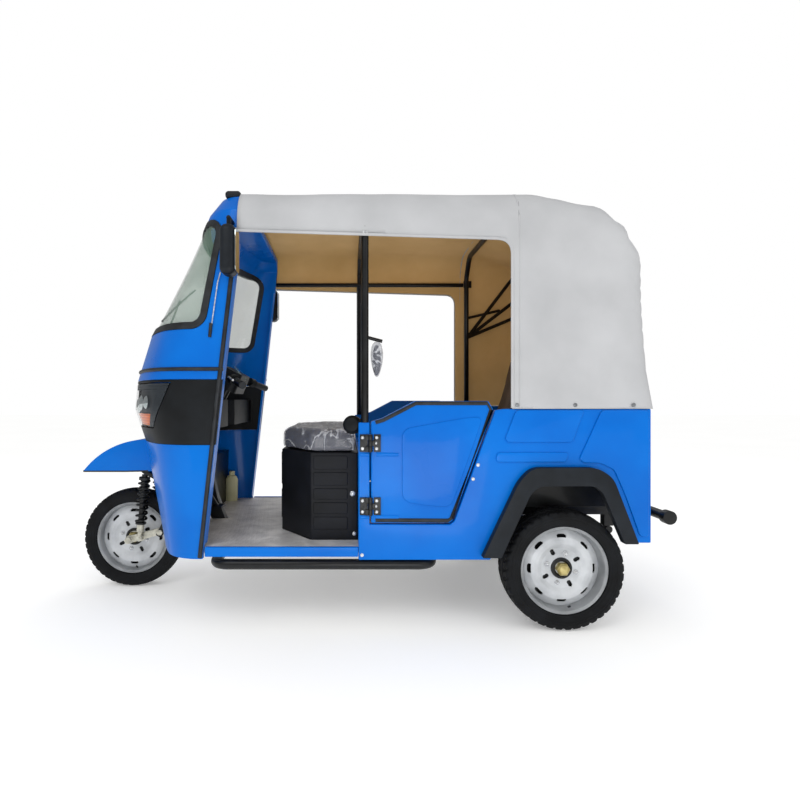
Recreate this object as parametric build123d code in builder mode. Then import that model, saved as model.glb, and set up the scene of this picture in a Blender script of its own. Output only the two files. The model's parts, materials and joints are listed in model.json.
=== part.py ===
from build123d import *
import math
import os

# Three-wheeled auto rickshaw. Front faces -X, its left side faces -Y, the ground is Z = 0.
# All sizes are millimetres.

# Wheels and axles
tyre_radius = 242
bead_radius = 168
front_tyre_width = 100
rear_tyre_width = 135
front_axle_x = -1108
rear_axle_x = 837
half_track = 500
axle_pin_radius = 12
stub_radius = 18
running_gap = 0.05
seat_gap = 0.3

# Steering axis, leaning back from a point on the ground ahead of the front wheel
rake = 28
axis_foot_x = -1168
stem_radius = 20
head_tube_radius = 32
head_tube_low = 735
head_tube_high = 900
yoke_low = 572
yoke_high = 590
bar_level = 1180

# Chassis
rail_low = 250
rail_high = 320
rail_inner = 290
rail_outer = 330
rear_rail_low = 420
rear_rail_high = 470
rear_rail_end = 1145
floor_top = 335

# Cab shell
cowl_wall = 25
door_edge_foot = (-618, 292)
door_edge_lean = 0.1104
wheel_opening_half = 270
wheel_opening_top = 590
lamp_band_low = 747
lamp_band_high = 1010
panel_gap = 0.8

# Passenger body
body_half = 565
body_wall = 30
body_front = 8
body_rear = 1178
body_low = 288
post_top = 838
door_gap = 6
hinge_x = 55
hinge_y = body_half + 11
hinge_levels = (504, 756)

# Canopy
canopy_half = body_half + 7
canopy_skin = 5
shoulder_in = 87
canopy_front = -478
valance_level = 1606
hood_edge_x = 622
hood_hem = 893
body_top = hood_hem - 0.5

os.makedirs("parts", exist_ok=True)


def keep(piece, name):
    piece.part.label = name
    export_step(piece.part, f"parts/{name}.step")


def side_prism(outline, y_low, y_high, radii=None, mode=Mode.ADD):
    """A side-view outline of (x, z) points, run across the vehicle from y_low to y_high."""
    with BuildSketch(Plane.XZ.offset(-y_high)) as face:
        with BuildLine():
            if radii is None:
                Polyline(*outline, close=True)
            else:
                FilletPolyline(*outline, radius=radii, close=True)
        make_face()
    extrude(face.sketch, amount=y_high - y_low, mode=mode)


def plan_prism(outline, z_low, z_high, mode=Mode.ADD):
    """A top-view outline of (x, y) points, run upwards from z_low to z_high."""
    with BuildSketch(Plane.XY.offset(z_low)) as face:
        with BuildLine():
            Polyline(*outline, close=True)
        make_face()
    extrude(face.sketch, amount=z_high - z_low, mode=mode)


def block(x, y, z, mode=Mode.ADD):
    """A box between the two values given for each axis."""
    with Locations(((x[0] + x[1]) / 2, (y[0] + y[1]) / 2, (z[0] + z[1]) / 2)):
        Box(x[1] - x[0], y[1] - y[0], z[1] - z[0], mode=mode)


def rod(start, end, radius, mode=Mode.ADD):
    """A round bar between two points."""
    way = Vector(*end) - Vector(*start)
    with BuildSketch(Plane(origin=start, z_dir=way)) as face:
        Circle(radius)
    extrude(face.sketch, amount=way.length, mode=mode)


def tube_along(points, bends, radius):
    """A round tube along straight runs joined by bends."""
    with BuildLine() as path:
        FilletPolyline(*points, radius=bends)
    with BuildSketch(Plane(origin=path.line @ 0, z_dir=path.line % 0)) as face:
        Circle(radius)
    sweep(face.sketch, path=path.line)


def both_sides(y_low, y_high):
    """The left and the right span of a pair, as (low, high) along Y."""
    return ((-y_high, -y_low), (y_low, y_high))


def steer_point(x, y, z):
    """A point given along the steering axis: x behind it, y across, z up it."""
    lean = math.radians(rake)
    return (
        axis_foot_x + z * math.sin(lean) + x * math.cos(lean),
        y,
        z * math.cos(lean) - x * math.sin(lean),
    )


# Wheels: (node prefix, axle x, wheel centre y, tyre width, bore radius, outer side)
wheels = (
    ("front", front_axle_x, 0, front_tyre_width, axle_pin_radius, -1),
    ("rear_left", rear_axle_x, -half_track, rear_tyre_width, stub_radius, -1),
    ("rear_right", rear_axle_x, half_track, rear_tyre_width, stub_radius, 1),
)
rim_barrel = 8
disc_thickness = 8
hub_radius = 48
drum_radius = 100
slot_count = 8
slot_circle = 122


def wheel_ring(x, y, profile, mode=Mode.ADD):
    """Turn a (distance across, radius) profile about the axle at (x, y)."""
    with BuildSketch(Plane((x, y, tyre_radius), x_dir=(0, 1, 0), z_dir=(1, 0, 0))) as face:
        with BuildLine():
            Polyline(*profile, close=True)
        make_face()
    revolve(face.sketch, axis=Axis((x, y, tyre_radius), (0, 1, 0)), mode=mode)


for prefix, axle_x, wheel_y, width, bore, outer_side in wheels:
    with BuildPart() as tyre:
        half_profile = (
            (0.36 * width, bead_radius + seat_gap),
            (0.45 * width, bead_radius + 22),
            (0.50 * width, bead_radius + 40),
            (0.485 * width, tyre_radius - 20),
            (0.44 * width, tyre_radius - 7),
            (0.34 * width, tyre_radius),
        )
        wheel_ring(
            axle_x,
            wheel_y,
            [(-a, r) for a, r in half_profile] + [(a, r) for a, r in reversed(half_profile)],
        )
    keep(tyre, f"{prefix}_tyre")

    disc_at = outer_side * 0.14 * width
    with BuildPart() as rim:
        bead_seat = 0.36 * width + seat_gap
        wheel_ring(
            axle_x,
            wheel_y,
            [
                (-bead_seat, bead_radius - rim_barrel),
                (bead_seat, bead_radius - rim_barrel),
                (bead_seat, bead_radius),
                (-bead_seat, bead_radius),
            ],
        )
        wheel_ring(
            axle_x,
            wheel_y,
            [
                (disc_at - disc_thickness / 2, 0),
                (disc_at + disc_thickness / 2, 0),
                (disc_at + disc_thickness / 2, bead_radius - rim_barrel / 2),
                (disc_at - disc_thickness / 2, bead_radius - rim_barrel / 2),
            ],
        )
        wheel_ring(
            axle_x,
            wheel_y,
            [(-0.30 * width, 0), (0.30 * width, 0), (0.30 * width, hub_radius), (-0.30 * width, hub_radius)],
        )
        drum_inner = -outer_side * 0.30 * width
        wheel_ring(
            axle_x,
            wheel_y,
            [(disc_at, 0), (disc_at, drum_radius), (drum_inner, drum_radius), (drum_inner, 0)],
        )
        with Locations(Plane((axle_x, wheel_y, tyre_radius), x_dir=(1, 0, 0), z_dir=(0, 1, 0))):
            with PolarLocations(slot_circle, slot_count):
                Box(11, 34, width, mode=Mode.SUBTRACT)
            Cylinder(bore + running_gap, 2 * width, mode=Mode.SUBTRACT)
    keep(rim, f"{prefix}_rim")

# Rear axle with its gear case, and the motor ahead of it
axle_tube_radius = 35
axle_tube_half = 395
stub_end = 545
gear_case_radius = 95
motor_radius = 85
motor_length = 230
with BuildPart() as rear_axle:
    rod(
        (rear_axle_x, -axle_tube_half, tyre_radius), (rear_axle_x, axle_tube_half, tyre_radius),
        axle_tube_radius,
    )
    rod((rear_axle_x, -stub_end, tyre_radius), (rear_axle_x, stub_end, tyre_radius), stub_radius)
    rod((rear_axle_x, -70, tyre_radius), (rear_axle_x, 70, tyre_radius), gear_case_radius)
keep(rear_axle, "rear_axle")

motor_rear = rear_axle_x - gear_case_radius - seat_gap
with BuildPart() as drive_motor:
    rod((motor_rear - motor_length, 0, tyre_radius), (motor_rear, 0, tyre_radius), motor_radius)
keep(drive_motor, "drive_motor")

# Leaf springs: an arched pack on the axle, with an eye under each hanger
leaf_seat = tyre_radius + axle_tube_radius + seat_gap
leaf_pack = 27
leaf_eye_radius = 17
leaf_eye_level = 352
leaf_ends = (530, 1125)
with BuildPart() as leaf_springs:
    for span in both_sides(rail_inner, rail_outer):
        with BuildSketch(Plane.XZ.offset(-span[1])) as leaf:
            with BuildLine():
                ThreePointArc(
                    (leaf_ends[0], leaf_eye_level - leaf_pack / 2),
                    (rear_axle_x, leaf_seat),
                    (leaf_ends[1], leaf_eye_level - leaf_pack / 2),
                )
                Line(
                    (leaf_ends[1], leaf_eye_level - leaf_pack / 2),
                    (leaf_ends[1], leaf_eye_level + leaf_pack / 2),
                )
                ThreePointArc(
                    (leaf_ends[1], leaf_eye_level + leaf_pack / 2),
                    (rear_axle_x, leaf_seat + leaf_pack),
                    (leaf_ends[0], leaf_eye_level + leaf_pack / 2),
                )
                Line(
                    (leaf_ends[0], leaf_eye_level + leaf_pack / 2),
                    (leaf_ends[0], leaf_eye_level - leaf_pack / 2),
                )
            make_face()
        extrude(leaf.sketch, amount=span[1] - span[0])
        for end in leaf_ends:
            rod((end, span[0], leaf_eye_level), (end, span[1], leaf_eye_level), leaf_eye_radius)
keep(leaf_springs, "leaf_springs")

# Chassis: two kicked-up rails, cross members, spring hangers, and the neck with the head tube
rail_front = -690
cross_members = ((-660, rail_low, rail_high), (-250, rail_low, rail_high), (60, rail_low, rail_high),
                 (390, rail_low, rail_high), (640, rear_rail_low, rear_rail_high),
                 (1105, rear_rail_low, rear_rail_high))
cross_width = 40
hanger_width = 40
neck_half = 25
with BuildPart() as chassis_frame:
    for span in both_sides(rail_inner, rail_outer):
        side_prism(
            [
                (rail_front, rail_low), (415, rail_low), (500, rear_rail_low), (rear_rail_end, rear_rail_low),
                (rear_rail_end, rear_rail_high), (475, rear_rail_high), (400, rail_high),
                (rail_front, rail_high),
            ],
            *span,
        )
        for end in leaf_ends:
            block(
                (end - hanger_width / 2, end + hanger_width / 2), span,
                (leaf_eye_level + leaf_eye_radius + seat_gap, rear_rail_low + 10),
            )
    for x, low, high in cross_members:
        block((x - cross_width / 2, x + cross_width / 2), (-rail_outer, rail_outer), (low, high))
    rod(steer_point(0, 0, head_tube_low), steer_point(0, 0, head_tube_high), head_tube_radius)
    side_prism(
        [(-800, 705), (-760, 770), (-690, 440), (-645, rail_high), (-690, rail_low), (-740, 400)],
        -neck_half, neck_half,
    )
    rod(
        steer_point(0, 0, head_tube_low - 5), steer_point(0, 0, head_tube_high + 5),
        stem_radius + running_gap, mode=Mode.SUBTRACT,
    )
keep(chassis_frame, "chassis_frame")

# Side step bars: U-shaped tubes butted to the outside of the rails
step_tube = 21
step_level = 264
step_out = body_half - 25
step_ends = (-580, 310)
with BuildPart() as step_bars:
    for side in (-1, 1):
        tube_along(
            [
                (step_ends[0], side * rail_outer, step_level), (step_ends[0], side * step_out, step_level),
                (step_ends[1], side * step_out, step_level), (step_ends[1], side * rail_outer, step_level),
            ],
            60, step_tube,
        )
keep(step_bars, "step_bars")

# Cab shell sections: (level, nose x at the centre, half width, front radius, corner radius)
cowl_foot = (290, -900, body_half - 5, 1000, 170)
cowl_waist = (lamp_band_low, -1005, body_half - 2, 760, 230)
lamp_bulge = (880, -1050, body_half, 760, 230)
lamp_top = (lamp_band_high, -1040, body_half, 760, 230)
screen_foot = (1206, -980, body_half - 5, 760, 230)
screen_head = (1700, -690, body_half - 20, 1400, 150)
cowl_roof = (1770, -622, body_half - 73, 1800, 100)


def door_edge(level):
    """The x of the door opening's front edge at a level."""
    return door_edge_foot[0] + (level - door_edge_foot[1]) * door_edge_lean


def raised(section, level):
    return (level, *section[1:])


def cowl_face(section, inset, past_edge):
    """One level of the cab shell, drawn in by an inset, and run past the door edge by an amount."""
    level, nose, half, front_r, corner_r = section
    nose, half = nose + inset, half - inset
    front_r, corner_r = front_r - inset, corner_r - inset
    reach = math.sqrt((front_r - corner_r) ** 2 - (half - corner_r) ** 2)
    front_centre = nose + front_r
    corner_centre = front_centre - reach
    turn = math.atan2(half - corner_r, reach)
    meet = (front_centre - front_r * math.cos(turn), front_r * math.sin(turn))
    middle = (turn + math.pi / 2) / 2
    bend = (corner_centre - corner_r * math.cos(middle), half - corner_r + corner_r * math.sin(middle))
    back = door_edge(level) + past_edge
    with BuildSketch(Plane.XY.offset(level)) as face:
        with BuildLine():
            Line((back, -half), (corner_centre, -half))
            ThreePointArc((corner_centre, -half), (bend[0], -bend[1]), (meet[0], -meet[1]))
            ThreePointArc((meet[0], -meet[1]), (nose, 0), meet)
            ThreePointArc(meet, bend, (corner_centre, half))
            Line((corner_centre, half), (back, half))
            Line((back, half), (back, -half))
        make_face()
    return face.sketch


def cowl_body(sections, inset, past_edge=0, mode=Mode.ADD):
    """The filled cab shape between sections, drawn in by an inset."""
    loft([cowl_face(section, inset, past_edge) for section in sections], ruled=True, mode=mode)


beyond = 60
far_front = -1400
far_top = cowl_roof[0] + 230
with BuildPart() as lower_cowl:
    cowl_body((cowl_foot, cowl_waist), 0)
    cowl_body((cowl_foot, cowl_waist), cowl_wall, beyond, Mode.SUBTRACT)
    block(
        (far_front, rail_front), (-wheel_opening_half, wheel_opening_half), (0, wheel_opening_top),
        mode=Mode.SUBTRACT,
    )
keep(lower_cowl, "lower_cowl")

# Lamp band, with a wrap-round lamp let into each front corner
band_foot = raised(cowl_waist, lamp_band_low + panel_gap)
lamp_outline = [(far_front, 812), (-835, 812), (-745, 1000), (far_front, 1000)]
lamp_inner_y = 185
lamp_depth = 22
lamp_rim = 4
with BuildPart() as lamp_panel:
    cowl_body((band_foot, lamp_bulge, lamp_top), 0)
    cowl_body((band_foot, lamp_bulge, lamp_top), cowl_wall, beyond, Mode.SUBTRACT)
    for span in both_sides(lamp_inner_y, body_half + beyond):
        side_prism(lamp_outline, *span, mode=Mode.SUBTRACT)
keep(lamp_panel, "lamp_panel")

lamp_lens_outline = [
    (far_front, 812 + seat_gap), (-835 - seat_gap, 812 + seat_gap),
    (-745 - seat_gap, 1000 - seat_gap), (far_front, 1000 - seat_gap),
]
with BuildPart() as headlamps:
    cowl_body((band_foot, lamp_bulge, lamp_top), -lamp_rim)
    cowl_body((band_foot, lamp_bulge, lamp_top), lamp_depth, beyond, Mode.SUBTRACT)
    side_prism(lamp_lens_outline, -body_half - beyond, body_half + beyond, mode=Mode.INTERSECT)
    block(
        (far_front, 0), (-lamp_inner_y - seat_gap, lamp_inner_y + seat_gap), (0, far_top), mode=Mode.SUBTRACT,
    )
keep(headlamps, "headlamps")

# Windscreen frame with its posts and roof edge, the seal and the wrapped glass
upper_foot = raised(lamp_top, lamp_band_high + panel_gap)
screen_corners = ((far_front, 1214), (-610, 1214), (-528, 1672), (far_front, 1672))
screen_corner_radius = 70
seal_width = 28


def screen_outline(shrink):
    """The windscreen opening in side view, drawn in by an amount."""
    low, high = screen_corners[1], screen_corners[2]
    lean = (high[0] - low[0]) / (high[1] - low[1])
    return [
        (far_front, low[1] + shrink),
        (low[0] - shrink * 1.015 + lean * shrink, low[1] + shrink),
        (high[0] - shrink * 1.015 - lean * shrink, high[1] - shrink),
        (far_front, high[1] - shrink),
    ]


def screen_radii(shrink):
    return [1, screen_corner_radius - shrink, screen_corner_radius - shrink, 1]


wide = body_half + beyond
screen_sections = (screen_foot, screen_head)
with BuildPart() as upper_cowl:
    cowl_body((upper_foot, screen_foot, screen_head, cowl_roof), 0)
    cowl_body(
        (upper_foot, screen_foot, screen_head, raised(cowl_roof, cowl_roof[0] - cowl_wall)),
        cowl_wall, beyond, Mode.SUBTRACT,
    )
    side_prism(screen_outline(0), -wide, wide, screen_radii(0), mode=Mode.SUBTRACT)
keep(upper_cowl, "upper_cowl")

with BuildPart() as windscreen_seal:
    cowl_body(screen_sections, -3)
    cowl_body(screen_sections, cowl_wall - 3, beyond, Mode.SUBTRACT)
    side_prism(screen_outline(seat_gap), -wide, wide, screen_radii(seat_gap), mode=Mode.INTERSECT)
    side_prism(screen_outline(seal_width), -wide, wide, screen_radii(seal_width), mode=Mode.SUBTRACT)
keep(windscreen_seal, "windscreen_seal")

glass_inset = 6
glass_thickness = 6
glass_edge = seal_width + seat_gap
with BuildPart() as windscreen:
    cowl_body(screen_sections, glass_inset)
    cowl_body(screen_sections, glass_inset + glass_thickness, beyond, Mode.SUBTRACT)
    side_prism(screen_outline(glass_edge), -wide, wide, screen_radii(glass_edge), mode=Mode.INTERSECT)
keep(windscreen, "windscreen")

# Mudguard beak ahead of the cab, over the front wheel
beak_half = 150
beak_skin = 8
beak_tip = (-1300, 588)
beak_top = ((-1180, 692), (-960, 738))
beak_round = 55


def beak_solid(shrink, low, half, mode=Mode.ADD):
    with BuildSketch(Plane.XZ.offset(-half)) as face:
        with BuildLine():
            Line((beak_tip[0] + 2 * shrink, low), (beak_top[1][0], low))
            Line((beak_top[1][0], low), (beak_top[1][0], beak_top[1][1] - shrink))
            ThreePointArc(
                (beak_top[1][0], beak_top[1][1] - shrink),
                (beak_top[0][0] + shrink, beak_top[0][1] - shrink),
                (beak_tip[0] + 2 * shrink, beak_tip[1]),
            )
            if low < beak_tip[1]:
                Line((beak_tip[0] + 2 * shrink, beak_tip[1]), (beak_tip[0] + 2 * shrink, low))
        make_face()
    extrude(face.sketch, amount=2 * half, mode=mode)


with BuildPart() as front_mudguard:
    beak_solid(0, beak_tip[1], beak_half)
    beak_solid(beak_skin, beak_tip[1] - 20, beak_half - beak_skin, mode=Mode.SUBTRACT)
    cowl_body((cowl_foot, cowl_waist), -seat_gap, beyond, Mode.SUBTRACT)
keep(front_mudguard, "front_mudguard")

# Footwell bulkhead: an upright wall behind the wheel and a shelf over it, shaped to the cab
bulkhead_x = -760
bulkhead_skin = 8
shelf_level = 622
stem_hole = 34
neck_slot_reach = 800
bulkhead_foot = rail_high + 1
inside_cab = cowl_wall + seat_gap
with BuildPart() as footwell_bulkhead:
    cowl_body((cowl_foot, cowl_waist), inside_cab)
    side_prism(
        [
            (bulkhead_x, bulkhead_foot), (bulkhead_x + bulkhead_skin, bulkhead_foot),
            (bulkhead_x + bulkhead_skin, shelf_level + bulkhead_skin),
            (far_front, shelf_level + bulkhead_skin), (far_front, shelf_level), (bulkhead_x, shelf_level),
        ],
        -wide, wide, mode=Mode.INTERSECT,
    )
    rod(steer_point(0, 0, 640), steer_point(0, 0, 760), stem_hole, mode=Mode.SUBTRACT)
    block(
        (-neck_slot_reach, 0), (-neck_half - 2, neck_half + 2), (bulkhead_foot - 1, shelf_level + 20),
        mode=Mode.SUBTRACT,
    )
keep(footwell_bulkhead, "footwell_bulkhead")

# Dashboard: a hollow tray across the cab, notched for the steering column
dash_low = 800
dash_high = 930
dash_rear = -625
dash_skin = 12
dash_notch_half = 75
dash_notch_x = -800


def dash_section(level):
    """The cab section at a level between the lamp band's foot and its bulge or top."""
    low, high = (band_foot, lamp_bulge) if level < lamp_bulge[0] else (lamp_bulge, lamp_top)
    part = (level - low[0]) / (high[0] - low[0])
    return (level, *[a + (b - a) * part for a, b in zip(low[1:], high[1:])])


dash_sections = (dash_section(dash_low), lamp_bulge, dash_section(dash_high))
with BuildPart() as dashboard:
    cowl_body(dash_sections, inside_cab)
    block((dash_rear, 0), (-wide, wide), (0, far_top), mode=Mode.SUBTRACT)
    block(
        (-900, dash_rear - dash_skin), (-470, -dash_notch_half - dash_skin), (0, dash_high - dash_skin),
        mode=Mode.SUBTRACT,
    )
    block(
        (-900, dash_rear - dash_skin), (dash_notch_half + dash_skin, 470), (0, dash_high - dash_skin),
        mode=Mode.SUBTRACT,
    )
    block((dash_notch_x, 0), (-dash_notch_half, dash_notch_half), (0, far_top), mode=Mode.SUBTRACT)
keep(dashboard, "dashboard")

# Floor plate, and the painted sill strips along the cab's doorways
floor_front = bulkhead_x + bulkhead_skin + 1
floor_rear = 446
kick_up_x = 398
sill_half = body_half - 17
cab_edge = door_edge_foot[0] + 10
with BuildPart() as floor_panel:
    cowl_body((cowl_foot, cowl_waist), inside_cab)
    block((floor_front, 0), (-wide, wide), (rail_high, floor_top), mode=Mode.INTERSECT)
    block(
        (cab_edge - 15, floor_rear), (-body_half + body_wall + 1, body_half - body_wall - 1),
        (rail_high, floor_top),
    )
    block((cab_edge, body_front - 1), (-sill_half, sill_half), (rail_high, floor_top))
    block((floor_front - 1, rail_front + 60), (-neck_half - 2, neck_half + 2), (0, 500), mode=Mode.SUBTRACT)
    for span in both_sides(rail_inner - 2, rail_outer + 2):
        block((kick_up_x, floor_rear), span, (0, 500), mode=Mode.SUBTRACT)
keep(floor_panel, "floor_panel")

with BuildPart() as door_sills:
    for span in both_sides(sill_half, body_half):
        block((cab_edge, body_front - 1), span, (rail_high - 20, floor_top + 4))
keep(door_sills, "door_sills")

# Front fork: stem, yoke plate and two legs. The links hang from the legs and lead the axle.
link_pivot = (63, 358.6)
link_axle = (
    (front_axle_x - axis_foot_x) * math.cos(math.radians(rake)) - tyre_radius * math.sin(math.radians(rake)),
    (front_axle_x - axis_foot_x) * math.sin(math.radians(rake)) + tyre_radius * math.cos(math.radians(rake)),
)
leg_y = 102
leg_radius = 16
pivot_radius = 10
link_inner = 66
link_outer = 82
link_half = 17
shock_foot = (-15.5, 280.5)
shock_head = (-140.2, yoke_low)
shock_y = 100
yoke_front = -165
yoke_rear = 90
yoke_half = 118
axis_origin = Vector(*steer_point(0, 0, 0))
axis_plane = Plane(
    origin=axis_origin,
    x_dir=Vector(*steer_point(1, 0, 0)) - axis_origin,
    z_dir=Vector(*steer_point(0, 0, 1)) - axis_origin,
)
with BuildPart() as front_fork:
    rod(steer_point(0, 0, yoke_low), steer_point(0, 0, bar_level - 30), stem_radius)
    with BuildSketch(axis_plane.offset(yoke_low)) as yoke:
        with Locations(((yoke_front + yoke_rear) / 2, 0)):
            RectangleRounded(yoke_rear - yoke_front, 2 * yoke_half, 30)
    extrude(yoke.sketch, amount=yoke_high - yoke_low)
    for side in (-1, 1):
        rod(
            steer_point(link_pivot[0], side * leg_y, link_pivot[1] - 22),
            steer_point(link_pivot[0], side * leg_y, yoke_low), leg_radius,
        )
        rod(
            steer_point(link_pivot[0], side * 40, link_pivot[1]),
            steer_point(link_pivot[0], side * 160, link_pivot[1]),
            pivot_radius + running_gap, mode=Mode.SUBTRACT,
        )
keep(front_fork, "front_fork")

with BuildPart() as leading_links:
    for side in (-1, 1):
        low, high = sorted((side * link_inner, side * link_outer))
        for end in (link_pivot, link_axle, shock_foot):
            rod(steer_point(end[0], low, end[1]), steer_point(end[0], high, end[1]), link_half + 3)
        way = math.atan2(link_axle[1] - link_pivot[1], link_axle[0] - link_pivot[0])
        across = (-math.sin(way) * link_half, math.cos(way) * link_half)
        corners = [
            steer_point(end[0] + sign * across[0], 0, end[1] + sign * across[1])
            for end, sign in ((link_pivot, 1), (link_axle, 1), (link_axle, -1), (link_pivot, -1))
        ]
        side_prism([(c[0], c[2]) for c in corners], low, high)
        for end, reach, radius in (
            (link_pivot, leg_y + leg_radius + 4, pivot_radius), (shock_foot, shock_y + 14, 8),
        ):
            rod(
                steer_point(end[0], side * link_inner, end[1]),
                steer_point(end[0], side * reach, end[1]), radius,
            )
    rod(
        steer_point(link_axle[0], -link_outer - 14, link_axle[1]),
        steer_point(link_axle[0], link_outer + 14, link_axle[1]), axle_pin_radius,
    )
keep(leading_links, "leading_links")

# Coil-over shocks between the links and the yoke: eye, damper body, spring sleeve and cap
shock_eye = 14
damper_radius = 11
coil_radius = 24


def up_shock(part, y):
    """A point part of the way up a shock, from its foot to its head."""
    return steer_point(
        shock_foot[0] + (shock_head[0] - shock_foot[0]) * part, y,
        shock_foot[1] + (shock_head[1] - shock_foot[1]) * part,
    )


with BuildPart() as front_shocks:
    for side in (-1, 1):
        y = side * shock_y
        rod(
            steer_point(shock_foot[0], y - 12, shock_foot[1]),
            steer_point(shock_foot[0], y + 12, shock_foot[1]),
            shock_eye,
        )
        rod(up_shock(0, y), up_shock(0.985, y), damper_radius)
        rod(up_shock(0.22, y), up_shock(0.90, y), coil_radius)
        rod(
            steer_point(shock_foot[0], y - 20, shock_foot[1]),
            steer_point(shock_foot[0], y + 20, shock_foot[1]),
            8 + running_gap, mode=Mode.SUBTRACT,
        )
keep(front_shocks, "front_shocks")

# Handlebar with its moulded cover, and the grips
bar_tube = 11
grip_radius = 17
bar_points = (
    steer_point(120, -330, bar_level + 10), steer_point(40, -200, bar_level + 5),
    steer_point(0, -110, bar_level), steer_point(0, 110, bar_level),
    steer_point(40, 200, bar_level + 5), steer_point(120, 330, bar_level + 10),
)
with BuildPart() as handlebar:
    tube_along(bar_points, 60, bar_tube)
    with BuildSketch(axis_plane.offset(bar_level - 60)) as cover:
        RectangleRounded(130, 270, 40)
    extrude(cover.sketch, amount=95, taper=6)
    rod(steer_point(0, 0, bar_level - 200), steer_point(0, 0, bar_level - 30), stem_radius + running_gap,
        mode=Mode.SUBTRACT)
keep(handlebar, "handlebar")

with BuildPart() as grips:
    for outer, inner in ((bar_points[0], bar_points[1]), (bar_points[5], bar_points[4])):
        way = (Vector(*inner) - Vector(*outer)).normalized()
        start = Vector(*outer) - way * 4
        rod(tuple(start), tuple(start + way * 112), grip_radius)
        rod(tuple(start + way * 4), tuple(start + way * 130), bar_tube + running_gap, mode=Mode.SUBTRACT)
keep(grips, "grips")

# Brake pedal on its arm, from the bulkhead
pedal_x = bulkhead_x + bulkhead_skin + 0.5
with BuildPart() as brake_pedal:
    side_prism(
        [(pedal_x, 560), (pedal_x + 16, 560), (pedal_x + 101, 425), (pedal_x + 85, 415)], -160, -144,
    )
    block((pedal_x + 73, pedal_x + 123), (-192, -112), (415, 427))
    block((pedal_x, pedal_x + 21), (-172, -132), (545, 590))
keep(brake_pedal, "brake_pedal")

# Driver's seat: a box with cut-back front corners, open underneath, and its cushion
seat_half = 439
seat_front_half = 248
seat_rear = body_front - 1
seat_shoulder = -191
seat_front = -337
seat_top = 705
seat_wall = 12
cushion_top = 800


def seat_plan(grow):
    return [
        (seat_rear, -seat_half - grow), (seat_rear, seat_half + grow), (seat_shoulder, seat_half + grow),
        (seat_front - grow, seat_front_half), (seat_front - grow, -seat_front_half),
        (seat_shoulder, -seat_half - grow),
    ]


with BuildPart() as seat_box:
    plan_prism(seat_plan(0), floor_top, seat_top)
    block(
        (seat_shoulder, seat_rear - seat_wall), (-seat_half + seat_wall, seat_half - seat_wall),
        (floor_top, seat_top - seat_wall), mode=Mode.SUBTRACT,
    )
keep(seat_box, "seat_box")

with BuildPart() as driver_cushion:
    plan_prism(seat_plan(8), seat_top + seat_gap, cushion_top)
    fillet(driver_cushion.edges().group_by(Axis.Z)[-1], 25)
keep(driver_cushion, "driver_cushion")

# Passenger body: side panels with the doorway and the wheel arch cut out, rear panel and partition
flare_outer = [(497, 305), (640, 606), (693, 661), (948, 661), (1011, 622), (1112, 360)]
flare_inner = [(1056, 360), (968, 566), (938, 588), (722, 588), (688, 560), (570, 305)]
arch_edge = [(535, body_low), (668, 590), (707, 625), (942, 625), (990, 594), (1084, 356)]
door_outline = [(58, 436), (58, 842), (104, 856), (234, 924), (528, 924), (548, 890), (386, 446), (372, 436)]
flare_out = body_half + 35
arch_bottom = 356
inner_half = body_half - body_wall


def doorway():
    """The door's outline with the door gap round it, open at the top."""
    return [
        (58 - door_gap, post_top), (58 - door_gap, 436 - door_gap), (375, 436 - door_gap),
        (392, 444), (548 + door_gap + 2, 888), (590, body_top),
    ]


panel_outline = (
    [(body_front, post_top)] + doorway() + [(body_rear, body_top), (body_rear, arch_bottom)]
    + arch_edge[::-1] + [(body_front, body_low)]
)
with BuildPart() as side_panels:
    for span in both_sides(inner_half, body_half):
        side_prism(panel_outline, *span)
keep(side_panels, "side_panels")

with BuildPart() as wheel_flares:
    for span in both_sides(body_half, flare_out):
        side_prism(flare_outer + flare_inner, *span)
keep(wheel_flares, "wheel_flares")

rear_panel_x = body_rear - body_wall
rear_panel_low = rear_rail_high + 10
with BuildPart() as rear_panel:
    block((rear_panel_x, body_rear), (-inner_half, inner_half), (rear_panel_low, body_top))
keep(rear_panel, "rear_panel")

partition_top = 700
with BuildPart() as partition:
    block((body_front, body_front + 22), (-inner_half, inner_half), (floor_top, partition_top))
keep(partition, "partition")

# Doors, each with an inner half of its hinges; the outer half stands on the front post
hinge_leaf = 5
hinge_reach = 42
hinge_height = 70
knuckle_radius = 9
hinge_pin = 5


third = hinge_height / 3


def skin_span(side):
    """Across the vehicle, the hinge leaf laid on the panel."""
    return tuple(sorted((side * body_half, side * (body_half + hinge_leaf))))


def arm_span(side):
    """Across the vehicle, the arm from the leaf out to the knuckle."""
    return tuple(sorted((side * (body_half + 1), side * (hinge_y + 3))))


with BuildPart() as post_hinges:
    for side in (-1, 1):
        for level in hinge_levels:
            low, high = level - hinge_height / 2, level + hinge_height / 2
            block((hinge_x - hinge_reach, hinge_x - 10), skin_span(side), (low, high))
            for z in ((low, low + third - 1), (high - third + 1, high)):
                block((hinge_x - 20, hinge_x), arm_span(side), z)
                rod((hinge_x, side * hinge_y, z[0]), (hinge_x, side * hinge_y, z[1]), knuckle_radius)
            rod((hinge_x, side * hinge_y, low), (hinge_x, side * hinge_y, high), hinge_pin)
keep(post_hinges, "post_hinges")

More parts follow.
